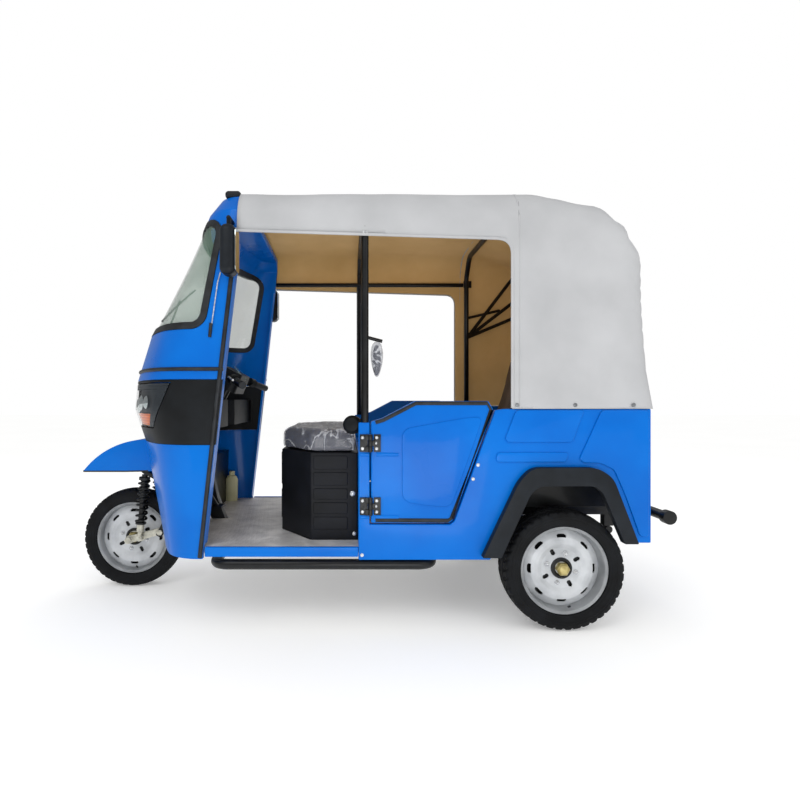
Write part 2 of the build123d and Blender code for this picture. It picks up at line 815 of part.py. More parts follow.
for side_name, side, span in zip(("left", "right"), (-1, 1), both_sides(inner_half, body_half)):
    with BuildPart() as door:
        side_prism(door_outline, *span)
    keep(door, f"door_{side_name}")

    with BuildPart() as door_hinges:
        for level in hinge_levels:
            low, high = level - hinge_height / 2, level + hinge_height / 2
            z = (low + third, high - third)
            block((hinge_x + 14, hinge_x + hinge_reach), skin_span(side), (low, high))
            block((hinge_x, hinge_x + 20), arm_span(side), z)
            rod((hinge_x, side * hinge_y, z[0]), (hinge_x, side * hinge_y, z[1]), knuckle_radius)
            rod(
                (hinge_x, side * hinge_y, low), (hinge_x, side * hinge_y, high),
                hinge_pin + running_gap, mode=Mode.SUBTRACT,
            )
    keep(door_hinges, f"door_hinges_{side_name}")

# Passenger bench: base over the axle, cushion, leaning backrest on its panel
bench_front = 430
bench_top = 620
bench_skin = 14
bench_side = 420
bench_rear = rear_panel_x
bench_half = inner_half - door_gap
back_foot = 893
back_head = 1056
back_top = 1180
back_skin = 22
back_half = body_half - 65
with BuildPart() as bench_base:
    block((bench_front, bench_rear), (-bench_half, bench_half), (bench_top - bench_skin, bench_top))
    block(
        (bench_front, bench_front + bench_skin), (-bench_half, bench_half), (floor_top, bench_top),
    )
    for span in both_sides(bench_side - bench_skin, bench_side):
        block((bench_front, bench_rear), span, (rear_rail_high + 1, bench_top))
    side_prism(
        [
            (back_foot, bench_top), (back_foot + back_skin, bench_top),
            (back_head + back_skin, back_top), (back_head, back_top),
        ],
        -back_half, back_half,
    )
    for span in both_sides(rail_inner - 2, rail_outer + 2):
        block(
            (bench_front - 1, bench_front + bench_skin + 60), span, (0, rear_rail_high + 2),
            mode=Mode.SUBTRACT,
        )
keep(bench_base, "bench_base")

bench_cushion_top = 735
backrest_foot = 770
backrest_depth = 110
back_slope = (back_head - back_foot) / (back_top - bench_top)
backrest_top = 1205
back_line = back_foot - 1 + back_slope * (backrest_top - bench_top)
with BuildPart() as bench_cushion:
    block(
        (bench_front - 18, backrest_foot - 8), (-back_half + 6, back_half - 6),
        (bench_top + seat_gap, bench_cushion_top),
    )
    fillet(bench_cushion.edges().group_by(Axis.Z)[-1], 30)
keep(bench_cushion, "bench_cushion")

with BuildPart() as bench_backrest:
    side_prism(
        [
            (backrest_foot, bench_top + seat_gap), (back_foot - 1, bench_top + seat_gap),
            (back_line, backrest_top),
            (back_line - backrest_depth, backrest_top),
        ],
        -back_half, back_half,
    )
keep(bench_backrest, "bench_backrest")

# Battery pack on the rear rails, under the bench
with BuildPart() as battery_pack:
    block((520, 760), (-rail_outer, rail_outer), (rear_rail_high, bench_top - bench_skin - 10))
keep(battery_pack, "battery_pack")

# Rear bumper on two brackets from the rails, with round end caps
bumper_reach = 176
bumper_x = rear_rail_end + bumper_reach
bumper_level = 432
bumper_tube = 21
bumper_cap = 29
bumper_half = 450
with BuildPart() as rear_bumper:
    rod((bumper_x, -bumper_half, bumper_level), (bumper_x, bumper_half, bumper_level), bumper_tube)
    for side in (-1, 1):
        rod(
            (bumper_x, side * (bumper_half - 30), bumper_level),
            (bumper_x, side * (bumper_half + 6), bumper_level),
            bumper_cap,
        )
    for span in both_sides(rail_inner + 3, rail_outer - 3):
        block((rear_rail_end, bumper_x), span, (rear_rail_low + 2, rear_rail_low + 28))
keep(rear_bumper, "rear_bumper")

tail_depth = 24
with BuildPart() as tail_lamps:
    for span in both_sides(inner_half - 105, inner_half - 20):
        block((body_rear, body_rear + tail_depth), span, (body_top - 192, body_top - 24))
    fillet(tail_lamps.edges().filter_by(Axis.X), 30)
keep(tail_lamps, "tail_lamps")

# Roof frame: posts on the body's front corners, side rails to the cab, and the dark header bar
post_y = body_half - 15
post_x = 34
bow_top = body_half - 135
post_radius = 15
rail_y = body_half - 29
rail_level = 1625
rail_tube = 12
hoop_x = 680
header_low = cowl_roof[0] + seat_gap
header_high = 1798
with BuildPart() as roof_frame:
    for side in (-1, 1):
        rod((post_x, side * post_y, post_top), (post_x, side * post_y, rail_level), post_radius)
        rod(
            (door_edge(rail_level) + 2, side * rail_y, rail_level),
            (hoop_x - 16, side * rail_y, rail_level), rail_tube,
        )
    tube_along(
        [
            (post_x, -rail_y, rail_level), (post_x, -rail_y + 6, 1690), (post_x, -bow_top, 1764),
            (post_x, bow_top, 1764), (post_x, rail_y - 6, 1690), (post_x, rail_y, rail_level),
        ],
        [40, 60, 60, 40], rail_tube,
    )
keep(roof_frame, "roof_frame")

with BuildPart() as header_bar:
    block(
        (-545, canopy_front - 1.5), (shoulder_in - canopy_half, canopy_half - shoulder_in),
        (header_low, header_high),
    )
    fillet(header_bar.edges().filter_by(Axis.Y).group_by(Axis.Z)[-1], 14)
keep(header_bar, "header_bar")

# Hood hoops: the fixed main hoop, and the swinging bows with their stays, all on one frame
hoop_foot = bench_top
hoop_y = body_half - 51
bow_pivot = (700, 1304)
bow_corners = ((972, 1680), (1060, 1592), (1122, 1488))
hoop_tube = 14
bow_tube = 10
with BuildPart() as hood_hoops:
    tube_along(
        [
            (hoop_x, -hoop_y, hoop_foot), (hoop_x, -hoop_y, 1660), (hoop_x, -bow_top, 1770),
            (hoop_x, bow_top, 1770), (hoop_x, hoop_y, 1660), (hoop_x, hoop_y, hoop_foot),
        ],
        [60, 80, 80, 60], hoop_tube,
    )
    for corner in bow_corners:
        tube_along(
            [
                (bow_pivot[0] - 14, -hoop_y, bow_pivot[1]), (corner[0], -hoop_y, corner[1]),
                (corner[0], hoop_y, corner[1]), (bow_pivot[0] - 14, hoop_y, bow_pivot[1]),
            ],
            70, bow_tube,
        )
    for side in (-1, 1):
        rod((hoop_x, side * hoop_y, 1420), (880, side * hoop_y, 1468), 8)
        block(
            (hoop_x - 16, hoop_x + 30), tuple(sorted((side * (rail_y - 14), side * (rail_y - 26)))),
            (rail_level - 20, rail_level + 20),
        )
keep(hood_hoops, "hood_hoops")

# Canopy: one skin over the frame, from the header to the body, with the doorways left open
canopy_top = [
    (canopy_front, 1814), (50, 1836), (703, 1806), (990, 1722), (1080, 1632), (1146, 1512), (1200, hood_hem),
]
shoulder_low = 1628
shoulder_mid = 1720
shoulder_high = 1790
ridge = 1834
canopy_corner = 90


def canopy_solid(shrink, floor_z, front_x, mode=Mode.ADD):
    """The canopy's outside drawn in by an amount, made from its side, end and top outlines."""
    top = [(x - (shrink if x > 700 else 0), z - shrink) for x, z in canopy_top]
    side = [(front_x, floor_z), (front_x, top[0][1])] + top[1:-1] + [(top[-1][0], floor_z)]
    half = canopy_half - shrink
    crown = half - shoulder_in
    mid, high = shoulder_mid - shrink, shoulder_high - shrink
    with BuildSketch(Plane.XZ.offset(-half)) as side_face:
        with BuildLine():
            Polyline(*side, close=True)
        make_face()
    with BuildSketch(Plane.YZ.offset(front_x - 10)) as end_face:
        with BuildLine():
            Line((-half, floor_z), (half, floor_z))
            Line((half, floor_z), (half, shoulder_low))
            ThreePointArc((half, shoulder_low), (half - 22, mid), (crown, high))
            ThreePointArc((crown, high), (0, ridge - shrink), (-crown, high))
            ThreePointArc((-crown, high), (22 - half, mid), (-half, shoulder_low))
            Line((-half, shoulder_low), (-half, floor_z))
        make_face()
    with BuildSketch(Plane.XY.offset(floor_z - 10)) as plan_face:
        with BuildLine():
            far = top[-1][0] + 1
            FilletPolyline(
                (front_x - 5, -half), (far, -half), (far, half), (front_x - 5, half),
                radius=[1, canopy_corner, canopy_corner, 1], close=True,
            )
        make_face()
    with BuildPart(mode=Mode.PRIVATE) as filled:
        extrude(side_face.sketch, amount=2 * half)
        extrude(end_face.sketch, amount=2000, mode=Mode.INTERSECT)
        extrude(plan_face.sketch, amount=1200, mode=Mode.INTERSECT)
    add(filled.part, mode=mode)


with BuildPart() as canopy:
    canopy_solid(0, hood_hem, canopy_front)
    canopy_solid(canopy_skin, hood_hem - 20, canopy_front - 20, mode=Mode.SUBTRACT)
    side_prism(
        [
            (canopy_front - 30, hood_hem - 30), (hood_edge_x, hood_hem - 30),
            (hood_edge_x, valance_level - 34),
            (canopy_front - 30, valance_level),
        ],
        -wide, wide, [1, 1, 60, 1], mode=Mode.SUBTRACT,
    )
keep(canopy, "canopy")

# Door mirrors on short arms from the windscreen posts
mirror_x = -500
mirror_y = body_half + 47
mirror_level = 1512
mirror_size = (62, 90, 196)
mirror_arm_top = 1640
with BuildPart() as mirrors:
    for side in (-1, 1):
        with Locations((mirror_x, side * mirror_y, mirror_level)):
            Box(*mirror_size)
    fillet(mirrors.edges(), 26)
    for side in (-1, 1):
        rod((mirror_x, side * mirror_y, mirror_level + 80), (mirror_x, side * mirror_y, mirror_arm_top), 9)
        rod((mirror_x, side * (mirror_y + 6), mirror_arm_top), (mirror_x, side * 547.4, mirror_arm_top), 9)
keep(mirrors, "mirrors")
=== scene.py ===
import json
import math
import bpy
import bmesh
from mathutils import Matrix, Vector, noise


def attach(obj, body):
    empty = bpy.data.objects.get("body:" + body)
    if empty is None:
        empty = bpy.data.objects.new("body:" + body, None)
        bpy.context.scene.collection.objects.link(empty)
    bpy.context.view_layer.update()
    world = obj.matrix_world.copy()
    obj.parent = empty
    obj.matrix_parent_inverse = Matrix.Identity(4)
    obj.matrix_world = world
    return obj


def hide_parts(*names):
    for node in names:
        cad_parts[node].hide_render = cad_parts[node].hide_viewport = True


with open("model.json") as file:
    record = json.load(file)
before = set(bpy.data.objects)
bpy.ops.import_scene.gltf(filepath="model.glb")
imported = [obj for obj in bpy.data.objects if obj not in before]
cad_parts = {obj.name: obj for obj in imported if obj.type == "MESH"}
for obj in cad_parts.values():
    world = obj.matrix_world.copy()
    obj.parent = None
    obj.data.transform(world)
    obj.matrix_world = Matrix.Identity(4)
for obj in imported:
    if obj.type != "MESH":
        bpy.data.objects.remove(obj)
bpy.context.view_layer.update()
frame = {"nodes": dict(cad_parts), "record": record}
scene = bpy.context.scene
scene.view_settings.view_transform = "Standard"
mm = 0.001
print("frame loaded:", len(frame["nodes"]), "nodes")


# Small helpers
def linear(hexColour):
    parts = [int(hexColour[i:i + 2], 16) / 255 for i in (1, 3, 5)]
    return tuple(c / 12.92 if c <= 0.04045 else ((c + 0.055) / 1.055) ** 2.4 for c in parts) + (1.0,)


def addNode(tree, kind, settings=None, links=None):
    node = tree.nodes.new(kind)
    for key, value in (settings or {}).items():
        if key in node.inputs and not hasattr(type(node), key):
            node.inputs[key].default_value = value
        else:
            setattr(node, key, value)
    for key, source in (links or {}).items():
        tree.links.new(source, node.inputs[key])
    return node


def newMaterial(name, settings):
    material = bpy.data.materials.new(name)
    material.use_nodes = True
    tree = material.node_tree
    shader = tree.nodes["Principled BSDF"]
    for key, value in settings.items():
        shader.inputs[key].default_value = value
    place = addNode(tree, "ShaderNodeTexCoord").outputs["Object"]
    return material, tree, shader, place


def shades(tree, shader, factor, dark, light, low=0.35, high=0.65):
    ramp = addNode(tree, "ShaderNodeValToRGB", links={"Fac": factor})
    ramp.color_ramp.elements[0].position = low
    ramp.color_ramp.elements[0].color = linear(dark)
    ramp.color_ramp.elements[1].position = high
    ramp.color_ramp.elements[1].color = linear(light)
    tree.links.new(ramp.outputs["Color"], shader.inputs["Base Color"])


def relief(tree, shader, height, strength, distance):
    bump = addNode(tree, "ShaderNodeBump", {"Strength": strength, "Distance": distance}, {"Height": height})
    tree.links.new(bump.outputs["Normal"], shader.inputs["Normal"])
    return bump


def roughSpread(tree, shader, factor, low, high):
    spread = addNode(tree, "ShaderNodeMapRange", {"To Min": low, "To Max": high}, {"Value": factor})
    tree.links.new(spread.outputs["Result"], shader.inputs["Roughness"])


def noiseAt(tree, place, size, detail, distortion=0.0):
    # size: metres from one blotch to the next
    settings = {"Scale": 1 / size, "Detail": detail, "Distortion": distortion}
    return addNode(tree, "ShaderNodeTexNoise", settings, {"Vector": place}).outputs["Fac"]


# tone: blotch size in metres and detail; bump: the same for a finer noise, if any, then strength and depth
def toned(name, settings, tone, colours, bump, rough):
    material, tree, shader, place = newMaterial(name, settings)
    cloud = noiseAt(tree, place, *tone)
    shades(tree, shader, cloud, *colours)
    fine = noiseAt(tree, place, *bump[:2]) if len(bump) == 4 else cloud
    relief(tree, shader, fine, *bump[-2:])
    roughSpread(tree, shader, cloud, *rough)
    return material


# Gloss enamel on pressed steel: deep even blue, a clear hard shine, and a very slight orange peel
def enamelPaint(name, dark, light):
    return toned(name, {"Coat Weight": 0.12, "Coat Roughness": 0.06, "Specular IOR Level": 0.1}, (0.35, 3),
                 (dark, light), (0.006, 1, 0.05, 0.0004), (0.24, 0.34))  # 6 mm peel


# Moulded ABS and polypropylene: near-black, with a leather-like grain of 2 mm that softens the light
def mouldedPlastic(name, dark, light, rough, grain=0.0022):
    material, tree, shader, place = newMaterial(name, {"Specular IOR Level": 0.22})
    cloud = noiseAt(tree, place, 0.12, 4)
    shades(tree, shader, cloud, dark, light)
    pits = addNode(tree, "ShaderNodeTexVoronoi", {"Scale": 1 / grain}, {"Vector": place})
    relief(tree, shader, pits.outputs["Distance"], 0.12, 0.0005)
    roughSpread(tree, shader, cloud, rough - 0.06, rough + 0.08)
    return material


# Black stove enamel on tube and plate: glossy with dust in the hollows
def blackEnamel(name):
    return toned(name, {"Coat Weight": 0.15, "Coat Roughness": 0.1, "Specular IOR Level": 0.3}, (0.05, 6),
                 ("#090A0B", "#16181A", 0.4, 0.75), (0.06, 0.0005), (0.28, 0.5))


# Silver wheel paint: fine aluminium flake under lacquer, a little grime
def wheelSilver(name):
    return toned(name, {"Metallic": 0.15}, (0.08, 5), ("#ABAEB1", "#C8CBCE", 0.3, 0.6),
                 (0.002, 2, 0.06, 0.0003), (0.34, 0.5))  # flake drawn at 2 mm


# Zinc-plated steel: pale, faintly yellow, streaked
def zincPlate(name, dark="#A8A69A", light="#CFCDBF", rough=0.35):
    return toned(name, {"Metallic": 0.45}, (0.02, 5), (dark, light), (0.08, 0.0003),
                 (rough - 0.1, rough + 0.12))


# Vulcanised tyre rubber: dull black-grey with a bloom on the sidewall
def tyreRubber(name):
    return toned(name, {"Specular IOR Level": 0.18}, (0.06, 6), ("#0B0C0E", "#191B1E", 0.35, 0.75),
                 (0.003, 3, 0.15, 0.0006), (0.55, 0.8))


# Extruded rubber seal: soft satin black
def sealRubber(name):
    return toned(name, {"Specular IOR Level": 0.4}, (0.04, 4), ("#101214", "#24282D"), (0.05, 0.0004),
                 (0.42, 0.62))


# Coated canvas: a plain weave under a matt coating, white outside and tan inside
def coatedCanvas(name, dark, light, weave=0.0032, glow=0.0):
    material, tree, shader, place = newMaterial(name, {
        "Sheen Weight": 0.08, "Specular IOR Level": 0.25,
        "Emission Color": linear(light), "Emission Strength": glow})  # glow: daylight through the cloth
    cloud = noiseAt(tree, place, 0.28, 5)
    shades(tree, shader, cloud, dark, light, 0.3, 0.7)
    thread = {"Scale": 0.314 / weave, "Distortion": 0.4}  # thread spacing drawn at 3 mm so that it shows
    ribs = [addNode(tree, "ShaderNodeTexWave", {"bands_direction": way, **thread}, {"Vector": place})
            for way in ("X", "Z")]
    cross = addNode(tree, "ShaderNodeMath", {"operation": "MULTIPLY"},
                    {0: ribs[0].outputs["Fac"], 1: ribs[1].outputs["Fac"]})
    relief(tree, shader, cross.outputs["Value"], 0.18, 0.0006)
    roughSpread(tree, shader, cloud, 0.62, 0.8)
    return material


# Rolled aluminium tread plate under a worn clear film: rows of raised bars, pale grey-brown
def treadPlate(name):
    material, tree, shader, place = newMaterial(name, {"Metallic": 0.15})
    dirt = noiseAt(tree, place, 0.09, 7, 0.6)
    shades(tree, shader, dirt, "#C6C4C3", "#EEECEA", 0.35, 0.7)
    turn = addNode(tree, "ShaderNodeMapping", {"Rotation": (0, 0, math.radians(45))}, {"Vector": place})
    bars = addNode(tree, "ShaderNodeTexBrick",
                   {"Scale": 1.0, "Brick Width": 0.034, "Row Height": 0.013, "Mortar Size": 0.004,
                    "Mortar Smooth": 0.6}, {"Vector": turn.outputs["Vector"]})  # 30 mm bars
    relief(tree, shader, bars.outputs["Fac"], 0.5, 0.002).invert = True
    roughSpread(tree, shader, dirt, 0.3, 0.55)
    return material


# Toughened glass: faintly green, clear, with the sharpest shine on the vehicle
def screenGlass(name):
    material, tree, shader, place = newMaterial(
        name, {"Roughness": 0.02, "IOR": 1.5, "Transmission Weight": 0.0, "Alpha": 0.34})
    smear = noiseAt(tree, place, 0.25, 5)
    shades(tree, shader, smear, "#5F7F6C", "#B9C9C0", 0.3, 0.75)
    return material


# Stretched clear film: thin polythene, mostly clear, grey between the creases as a painted reflection of the
# sky, with painted highlights along its crumpled edges
def clearFilm(name):
    material, tree, shader, place = newMaterial(
        name, {"Roughness": 0.14, "IOR": 1.5, "Specular IOR Level": 0.9})
    folds = noiseAt(tree, place, 0.11, 3, 0.9)  # folds about 110 mm apart
    middle = addNode(tree, "ShaderNodeMath", {"operation": "SUBTRACT"}, {0: folds})
    middle.inputs[1].default_value = 0.5
    away = addNode(tree, "ShaderNodeMath", {"operation": "ABSOLUTE"}, {0: middle.outputs["Value"]})
    ridge = addNode(tree, "ShaderNodeMapRange", {"From Max": 0.05, "To Min": 1.0, "To Max": 0.0},
                    {"Value": away.outputs["Value"]})
    # painted highlight: the crease ridges are coloured near-white; painted sky reflection: the grey between
    # them
    shades(tree, shader, ridge.outputs["Result"], "#8C8E99", "#DDDFE4", 0.1, 1.0)
    thin = addNode(tree, "ShaderNodeMapRange", {"To Min": 0.38, "To Max": 0.66},
                   {"Value": ridge.outputs["Result"]})
    tree.links.new(thin.outputs["Result"], shader.inputs["Alpha"])
    relief(tree, shader, ridge.outputs["Result"], 0.6, 0.005)
    return material


# Expanded vinyl: pressed like leather, with a low sheen
def seatVinyl(name, dark, light):
    material, tree, shader, place = newMaterial(name, {"Specular IOR Level": 0.45})
    pores = addNode(tree, "ShaderNodeTexVoronoi", {"Scale": 1 / 0.004}, {"Vector": place})  # 4 mm pebble
    tone = noiseAt(tree, place, 0.1, 4)
    shades(tree, shader, tone, dark, light)
    relief(tree, shader, pores.outputs["Distance"], 0.25, 0.0008)
    roughSpread(tree, shader, tone, 0.4, 0.6)
    return material


# Polycarbonate lens: coloured or clear, moulded flutes behind a hard gloss
def lensPlastic(name, dark, light, alpha=1.0, flute=0.012, shine=0.5):
    material, tree, shader, place = newMaterial(
        name, {"Roughness": 0.06, "IOR": 1.58, "Alpha": alpha, "Specular IOR Level": shine,
               "Coat Weight": 0.8 * shine})
    flutes = addNode(tree, "ShaderNodeTexWave", {"bands_direction": "Z", "Scale": 0.314 / flute},
                     {"Vector": place})
    shades(tree, shader, flutes.outputs["Fac"], dark, light, 0.2, 0.8)
    relief(tree, shader, flutes.outputs["Fac"], 0.15, 0.001)
    return material


# Silvered mirror glass
def mirrorGlass(name):
    material, tree, shader, place = newMaterial(name, {"Metallic": 1.0})
    haze = noiseAt(tree, place, 0.05, 3)
    shades(tree, shader, haze, "#B9C4C4", "#E2E8E8")
    roughSpread(tree, shader, haze, 0.02, 0.07)
    return material


finishes = {
    "blue": enamelPaint("enamelBlue", "#0061C0", "#006ECE"),
    "plastic": mouldedPlastic("absBlackGrained", "#0A0D10", "#14181C", 0.5),
    "boxPlastic": mouldedPlastic("mouldedBoxBlack", "#0E1014", "#181A20", 0.5, 0.003),
    "flare": mouldedPlastic("polypropyleneGreyBlack", "#12161B", "#1C2127", 0.45),
    "enamelBlack": blackEnamel("enamelBlackStoved"),
    "silver": wheelSilver("wheelSilverLacquer"),
    "zinc": zincPlate("zincPlatedSteel"),
    "bolt": zincPlate("brightBoltSteel", "#B5B7BA", "#E0E2E4", 0.25),
    "brass": zincPlate("yellowPassivatedSteel", "#9A8A4E", "#C9BA7E", 0.3),
    "castMotor": zincPlate("castAluminium", "#6E7072", "#94979A", 0.5),
    "tyre": tyreRubber("vulcanisedRubber"),
    "seal": sealRubber("extrudedSealRubber"),
    "canvas": coatedCanvas("coatedCanvasWhite", "#ABACAE", "#BBBCBE"),
    "lining": coatedCanvas("coatedCanvasTan", "#C29A5E", "#D8B278", glow=0.10),
    "tread": treadPlate("aluminiumTreadPlate"),
    "glass": screenGlass("toughenedGlass"),
    "film": clearFilm("polytheneFilm"),
    "vinyl": seatVinyl("expandedVinylBlack", "#1B1C22", "#2C2E36"),
    "brownVinyl": seatVinyl("expandedVinylBrown", "#4A3F39", "#6A5A50"),
    "lensClear": lensPlastic("polycarbonateClear", "#4A5258", "#66707A", 0.10),
    "lensRed": lensPlastic("polycarbonateRed", "#7A0508", "#B01016"),
    "lensAmber": lensPlastic("polycarbonateAmber", "#C04A00", "#EE7600", shine=0.06),
    "mirror": mirrorGlass("silveredGlass"),
    "plate": zincPlate("plainPlateAluminium", "#C9CBCC", "#DDDFE0", 0.5),
    "bottle": mouldedPlastic("polytheneNatural", "#C9C8A2", "#DCDBB8", 0.4),
}
print("finishes made:", len(finishes))

# Solids that keep their own form: each finish with its nodes and their bevels in mm
skins = {
    "blue": {"lower_cowl": 4, "upper_cowl": 4, "front_mudguard": 2.5, "door_sills": 4, "side_panels": 5,
             "rear_panel": 4, "partition": 3, "door_left": 6, "door_right": 6},
    "plastic": {"lamp_panel": 4, "dashboard": 5, "handlebar": 4},
    "boxPlastic": {"seat_box": 6, "battery_pack": 4},
    "flare": {"header_bar": 10, "mirrors": 0},
    "seal": {"windscreen_seal": 3, "grips": 4},
    "glass": {"windscreen": 0},
    "lensRed": {"tail_lamps": 5},
    "tread": {"floor_panel": 2},
    "castMotor": {"drive_motor": 5},
    "zinc": {"leading_links": 2},
    "enamelBlack": {"footwell_bulkhead": 2, "brake_pedal": 3, "chassis_frame": 3, "step_bars": 0,
                    "rear_axle": 3, "leaf_springs": 1.5, "front_fork": 3, "bench_base": 2, "rear_bumper": 6,
                    "roof_frame": 0, "hood_hoops": 0, "post_hinges": 1.2, "door_hinges_left": 1.2,
                    "door_hinges_right": 1.2},
}
nodeBody = {node: body for body, names in frame["record"]["behaviour"]["bodies"].items() for node in names}


def addPiece(name, mesh, finish, body, smooth=30):
    mesh.materials.clear()
    for part in (finish if isinstance(finish, (list, tuple)) else (finish,)):
        mesh.materials.append(finishes[part])
    piece = bpy.data.objects.new(name, mesh)
    scene.collection.objects.link(piece)
    for face in mesh.polygons:
        face.use_smooth = True
    if smooth:
        mesh.set_sharp_from_angle(angle=math.radians(smooth))
    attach(piece, body)
    return piece


def toMesh(name, shape):
    mesh = bpy.data.meshes.new(name)
    shape.to_mesh(mesh)
    shape.free()
    return mesh


def addTrim(name, shapes, finish, body="body", smooth=35):
    return addPiece(name, toMesh(name, shapes), finish, body, smooth)


def softenEdges(shape, width, angle=28):
    if width <= 0:
        return
    sharp = [e for e in shape.edges if e.is_manifold and e.calc_face_angle(0) > math.radians(angle)]
    bmesh.ops.bevel(shape, geom=sharp, offset=width * mm, segments=3, profile=0.6, affect="EDGES",
                    clamp_overlap=True, harden_normals=False)


def slimStem(shape):
    # The stem's flats would catch the bore's flats as it turns, so it is drawn 1 mm in
    foot, way = Vector((-1.168, 0, 0)), Vector((math.sin(math.radians(28)), 0, math.cos(math.radians(28))))
    for vert in shape.verts:
        out = (vert.co - foot) - way * (vert.co - foot).dot(way)
        if 0.018 < out.length < 0.0215:
            vert.co -= out.normalized() * 0.001


def skinNode(node, finish, bevel):
    shape = bmesh.new()
    shape.from_mesh(frame["nodes"][node].data)
    bmesh.ops.remove_doubles(shape, verts=shape.verts, dist=0.00002)
    bmesh.ops.dissolve_limit(shape, angle_limit=math.radians(0.6), verts=shape.verts, edges=shape.edges)
    if node == "front_fork":
        slimStem(shape)
    softenEdges(shape, bevel)
    bmesh.ops.triangulate(shape, faces=[f for f in shape.faces if len(f.verts) > 4])
    piece = addPiece("skin_" + node, toMesh(node, shape), finish, nodeBody[node])
    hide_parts(node)


# Shape helpers
def outward(shape):
    bmesh.ops.recalc_face_normals(shape, faces=shape.faces)


def thicken(shape, depth):
    bmesh.ops.solidify(shape, geom=shape.faces[:], thickness=depth)


def bridge(shape, rings, closed=True):
    for ring, after in zip(rings, rings[1:]):
        for k in range(len(ring) if closed else len(ring) - 1):
            j = (k + 1) % len(ring)
            shape.faces.new((ring[k], ring[j], after[j], after[k]))


def lathe(profile, place, segments, shift=None):
    shape = bmesh.new()
    rings = []
    for step in range(segments):
        turn = 2 * math.pi * step / segments
        ring = []
        for across, radius in profile:
            change = shift(across, radius, turn) if shift else 0
            reach = (radius + change) * mm
            ring.append(shape.verts.new((
                place[0] * mm + reach * math.cos(turn), (place[1] + across) * mm,
                place[2] * mm + reach * math.sin(turn))))
        rings.append(ring)
    bridge(shape, rings + rings[:1], False)
    return shape


def tube(points, radius, sides=12, close=False, flat=None):
    shape = bmesh.new()
    path = [Vector(p) * mm for p in points]
    rings = []
    count = len(path)
    for index, spot in enumerate(path):
        before = path[index - 1] if index or close else spot
        after = path[(index + 1) % count] if index < count - 1 or close else spot
        way = (after - before).normalized()
        side = way.cross(Vector((0, 0, 1)) if abs(way.z) < 0.95 else Vector((1, 0, 0))).normalized()
        rise = side.cross(way)
        rings.append([
            shape.verts.new(spot + (side * math.cos(t) + rise * math.sin(t)) * radius * mm)
            for t in (2 * math.pi * k / sides for k in range(sides))])
    bridge(shape, rings + rings[:1] if close else rings)
    if not close:
        shape.faces.new(rings[0][::-1])
        shape.faces.new(rings[-1])
    outward(shape)
    if flat:
        centre, factor = flat
        for vert in shape.verts:
            vert.co.y = centre * mm + (vert.co.y - centre * mm) * factor
    return shape


def rounded(points, radius, steps=5, close=False):
    spots = [Vector(p) for p in points]
    count = len(spots)
    result = []
    for index, spot in enumerate(spots):
        if not close and index in (0, count - 1):
            result.append(spot)
            continue
        before, after = spots[index - 1], spots[(index + 1) % count]
        back, ahead = before - spot, after - spot
        reach = min(radius, back.length * 0.45, ahead.length * 0.45)
        start, end = spot + back.normalized() * reach, spot + ahead.normalized() * reach
        for k in range(steps + 1):
            t = k / steps
            result.append(start * (1 - t) ** 2 + spot * 2 * t * (1 - t) + end * t ** 2)
    return result


def joined(shapes):
    whole = bmesh.new()
    for shape in shapes:
        part = bpy.data.meshes.new("part")
        shape.to_mesh(part)
        shape.free()
        whole.from_mesh(part)
        bpy.data.meshes.remove(part)
    return whole


def button(place, way, radius, height, sides=16, dome=0.5):
    shape = bmesh.new()
    turn = Vector(way).to_track_quat("Z", "Y").to_matrix().to_4x4()
    levels = ((1.0, 0.0), (1.0, 1 - dome), (0.72, 1 - dome * 0.25), (0.3, 1.0))
    rings = [[shape.verts.new((radius * mm * r * math.cos(t), radius * mm * r * math.sin(t), height * mm * z))
              for t in (2 * math.pi * k / sides for k in range(sides))] for r, z in levels]
    bridge(shape, rings)
    shape.faces.new(rings[-1])
    shape.faces.new(rings[0][::-1])
    shape.transform(Matrix.Translation(Vector(place) * mm) @ turn)
    return shape


def slab(outline, low, high, axis="y"):
    shape = bmesh.new()
    order = (0, 2, 1) if axis == "y" else (2, 0, 1)
    near, far = [[shape.verts.new([(a, b, level)[k] * mm for k in order]) for a, b in outline]
                 for level in (low, high)]
    shape.faces.new(near)
    shape.faces.new(far[::-1])
    for k in range(len(outline)):
        j = (k + 1) % len(outline)
        shape.faces.new((near[k], far[k], far[j], near[j]))
    outward(shape)
    return shape


def rectangle(left, low, right, high):
    return [(left, low), (right, low), (right, high), (left, high)]


def roundSlab(outline, low, high, corner, edge, axis="y"):
    flat = [(p.x, p.y) for p in rounded([(a, b, 0) for a, b in outline], corner, close=True)]
    shape = slab(flat, low, high, axis)
    softenEdges(shape, edge, 40)
    return shape


def cutBy(piece, cutters):
    for cutter in cutters:
        mesh = toMesh("cutter", cutter)
        tool = bpy.data.objects.new("cutter", mesh)
        scene.collection.objects.link(tool)
        change = piece.modifiers.new("cut", "BOOLEAN")
        change.object = tool
        change.operation = "DIFFERENCE"
        change.solver = "EXACT"
        bpy.context.view_layer.update()
        done = bpy.data.meshes.new_from_object(piece.evaluated_get(bpy.context.evaluated_depsgraph_get()))
        piece.modifiers.clear()
        piece.data = done
        bpy.data.objects.remove(tool)


# Wheels: tyres with cut treads, dished steel discs with slots, hub nuts and studs
wheels = {
    "front": {"place": (-1108, 0, 242), "width": 100, "side": -1, "blocks": 46},
    "rear_left": {"place": (837, -500, 242), "width": 135, "side": -1, "blocks": 40},
    "rear_right": {"place": (837, 500, 242), "width": 135, "side": 1, "blocks": 40},
}
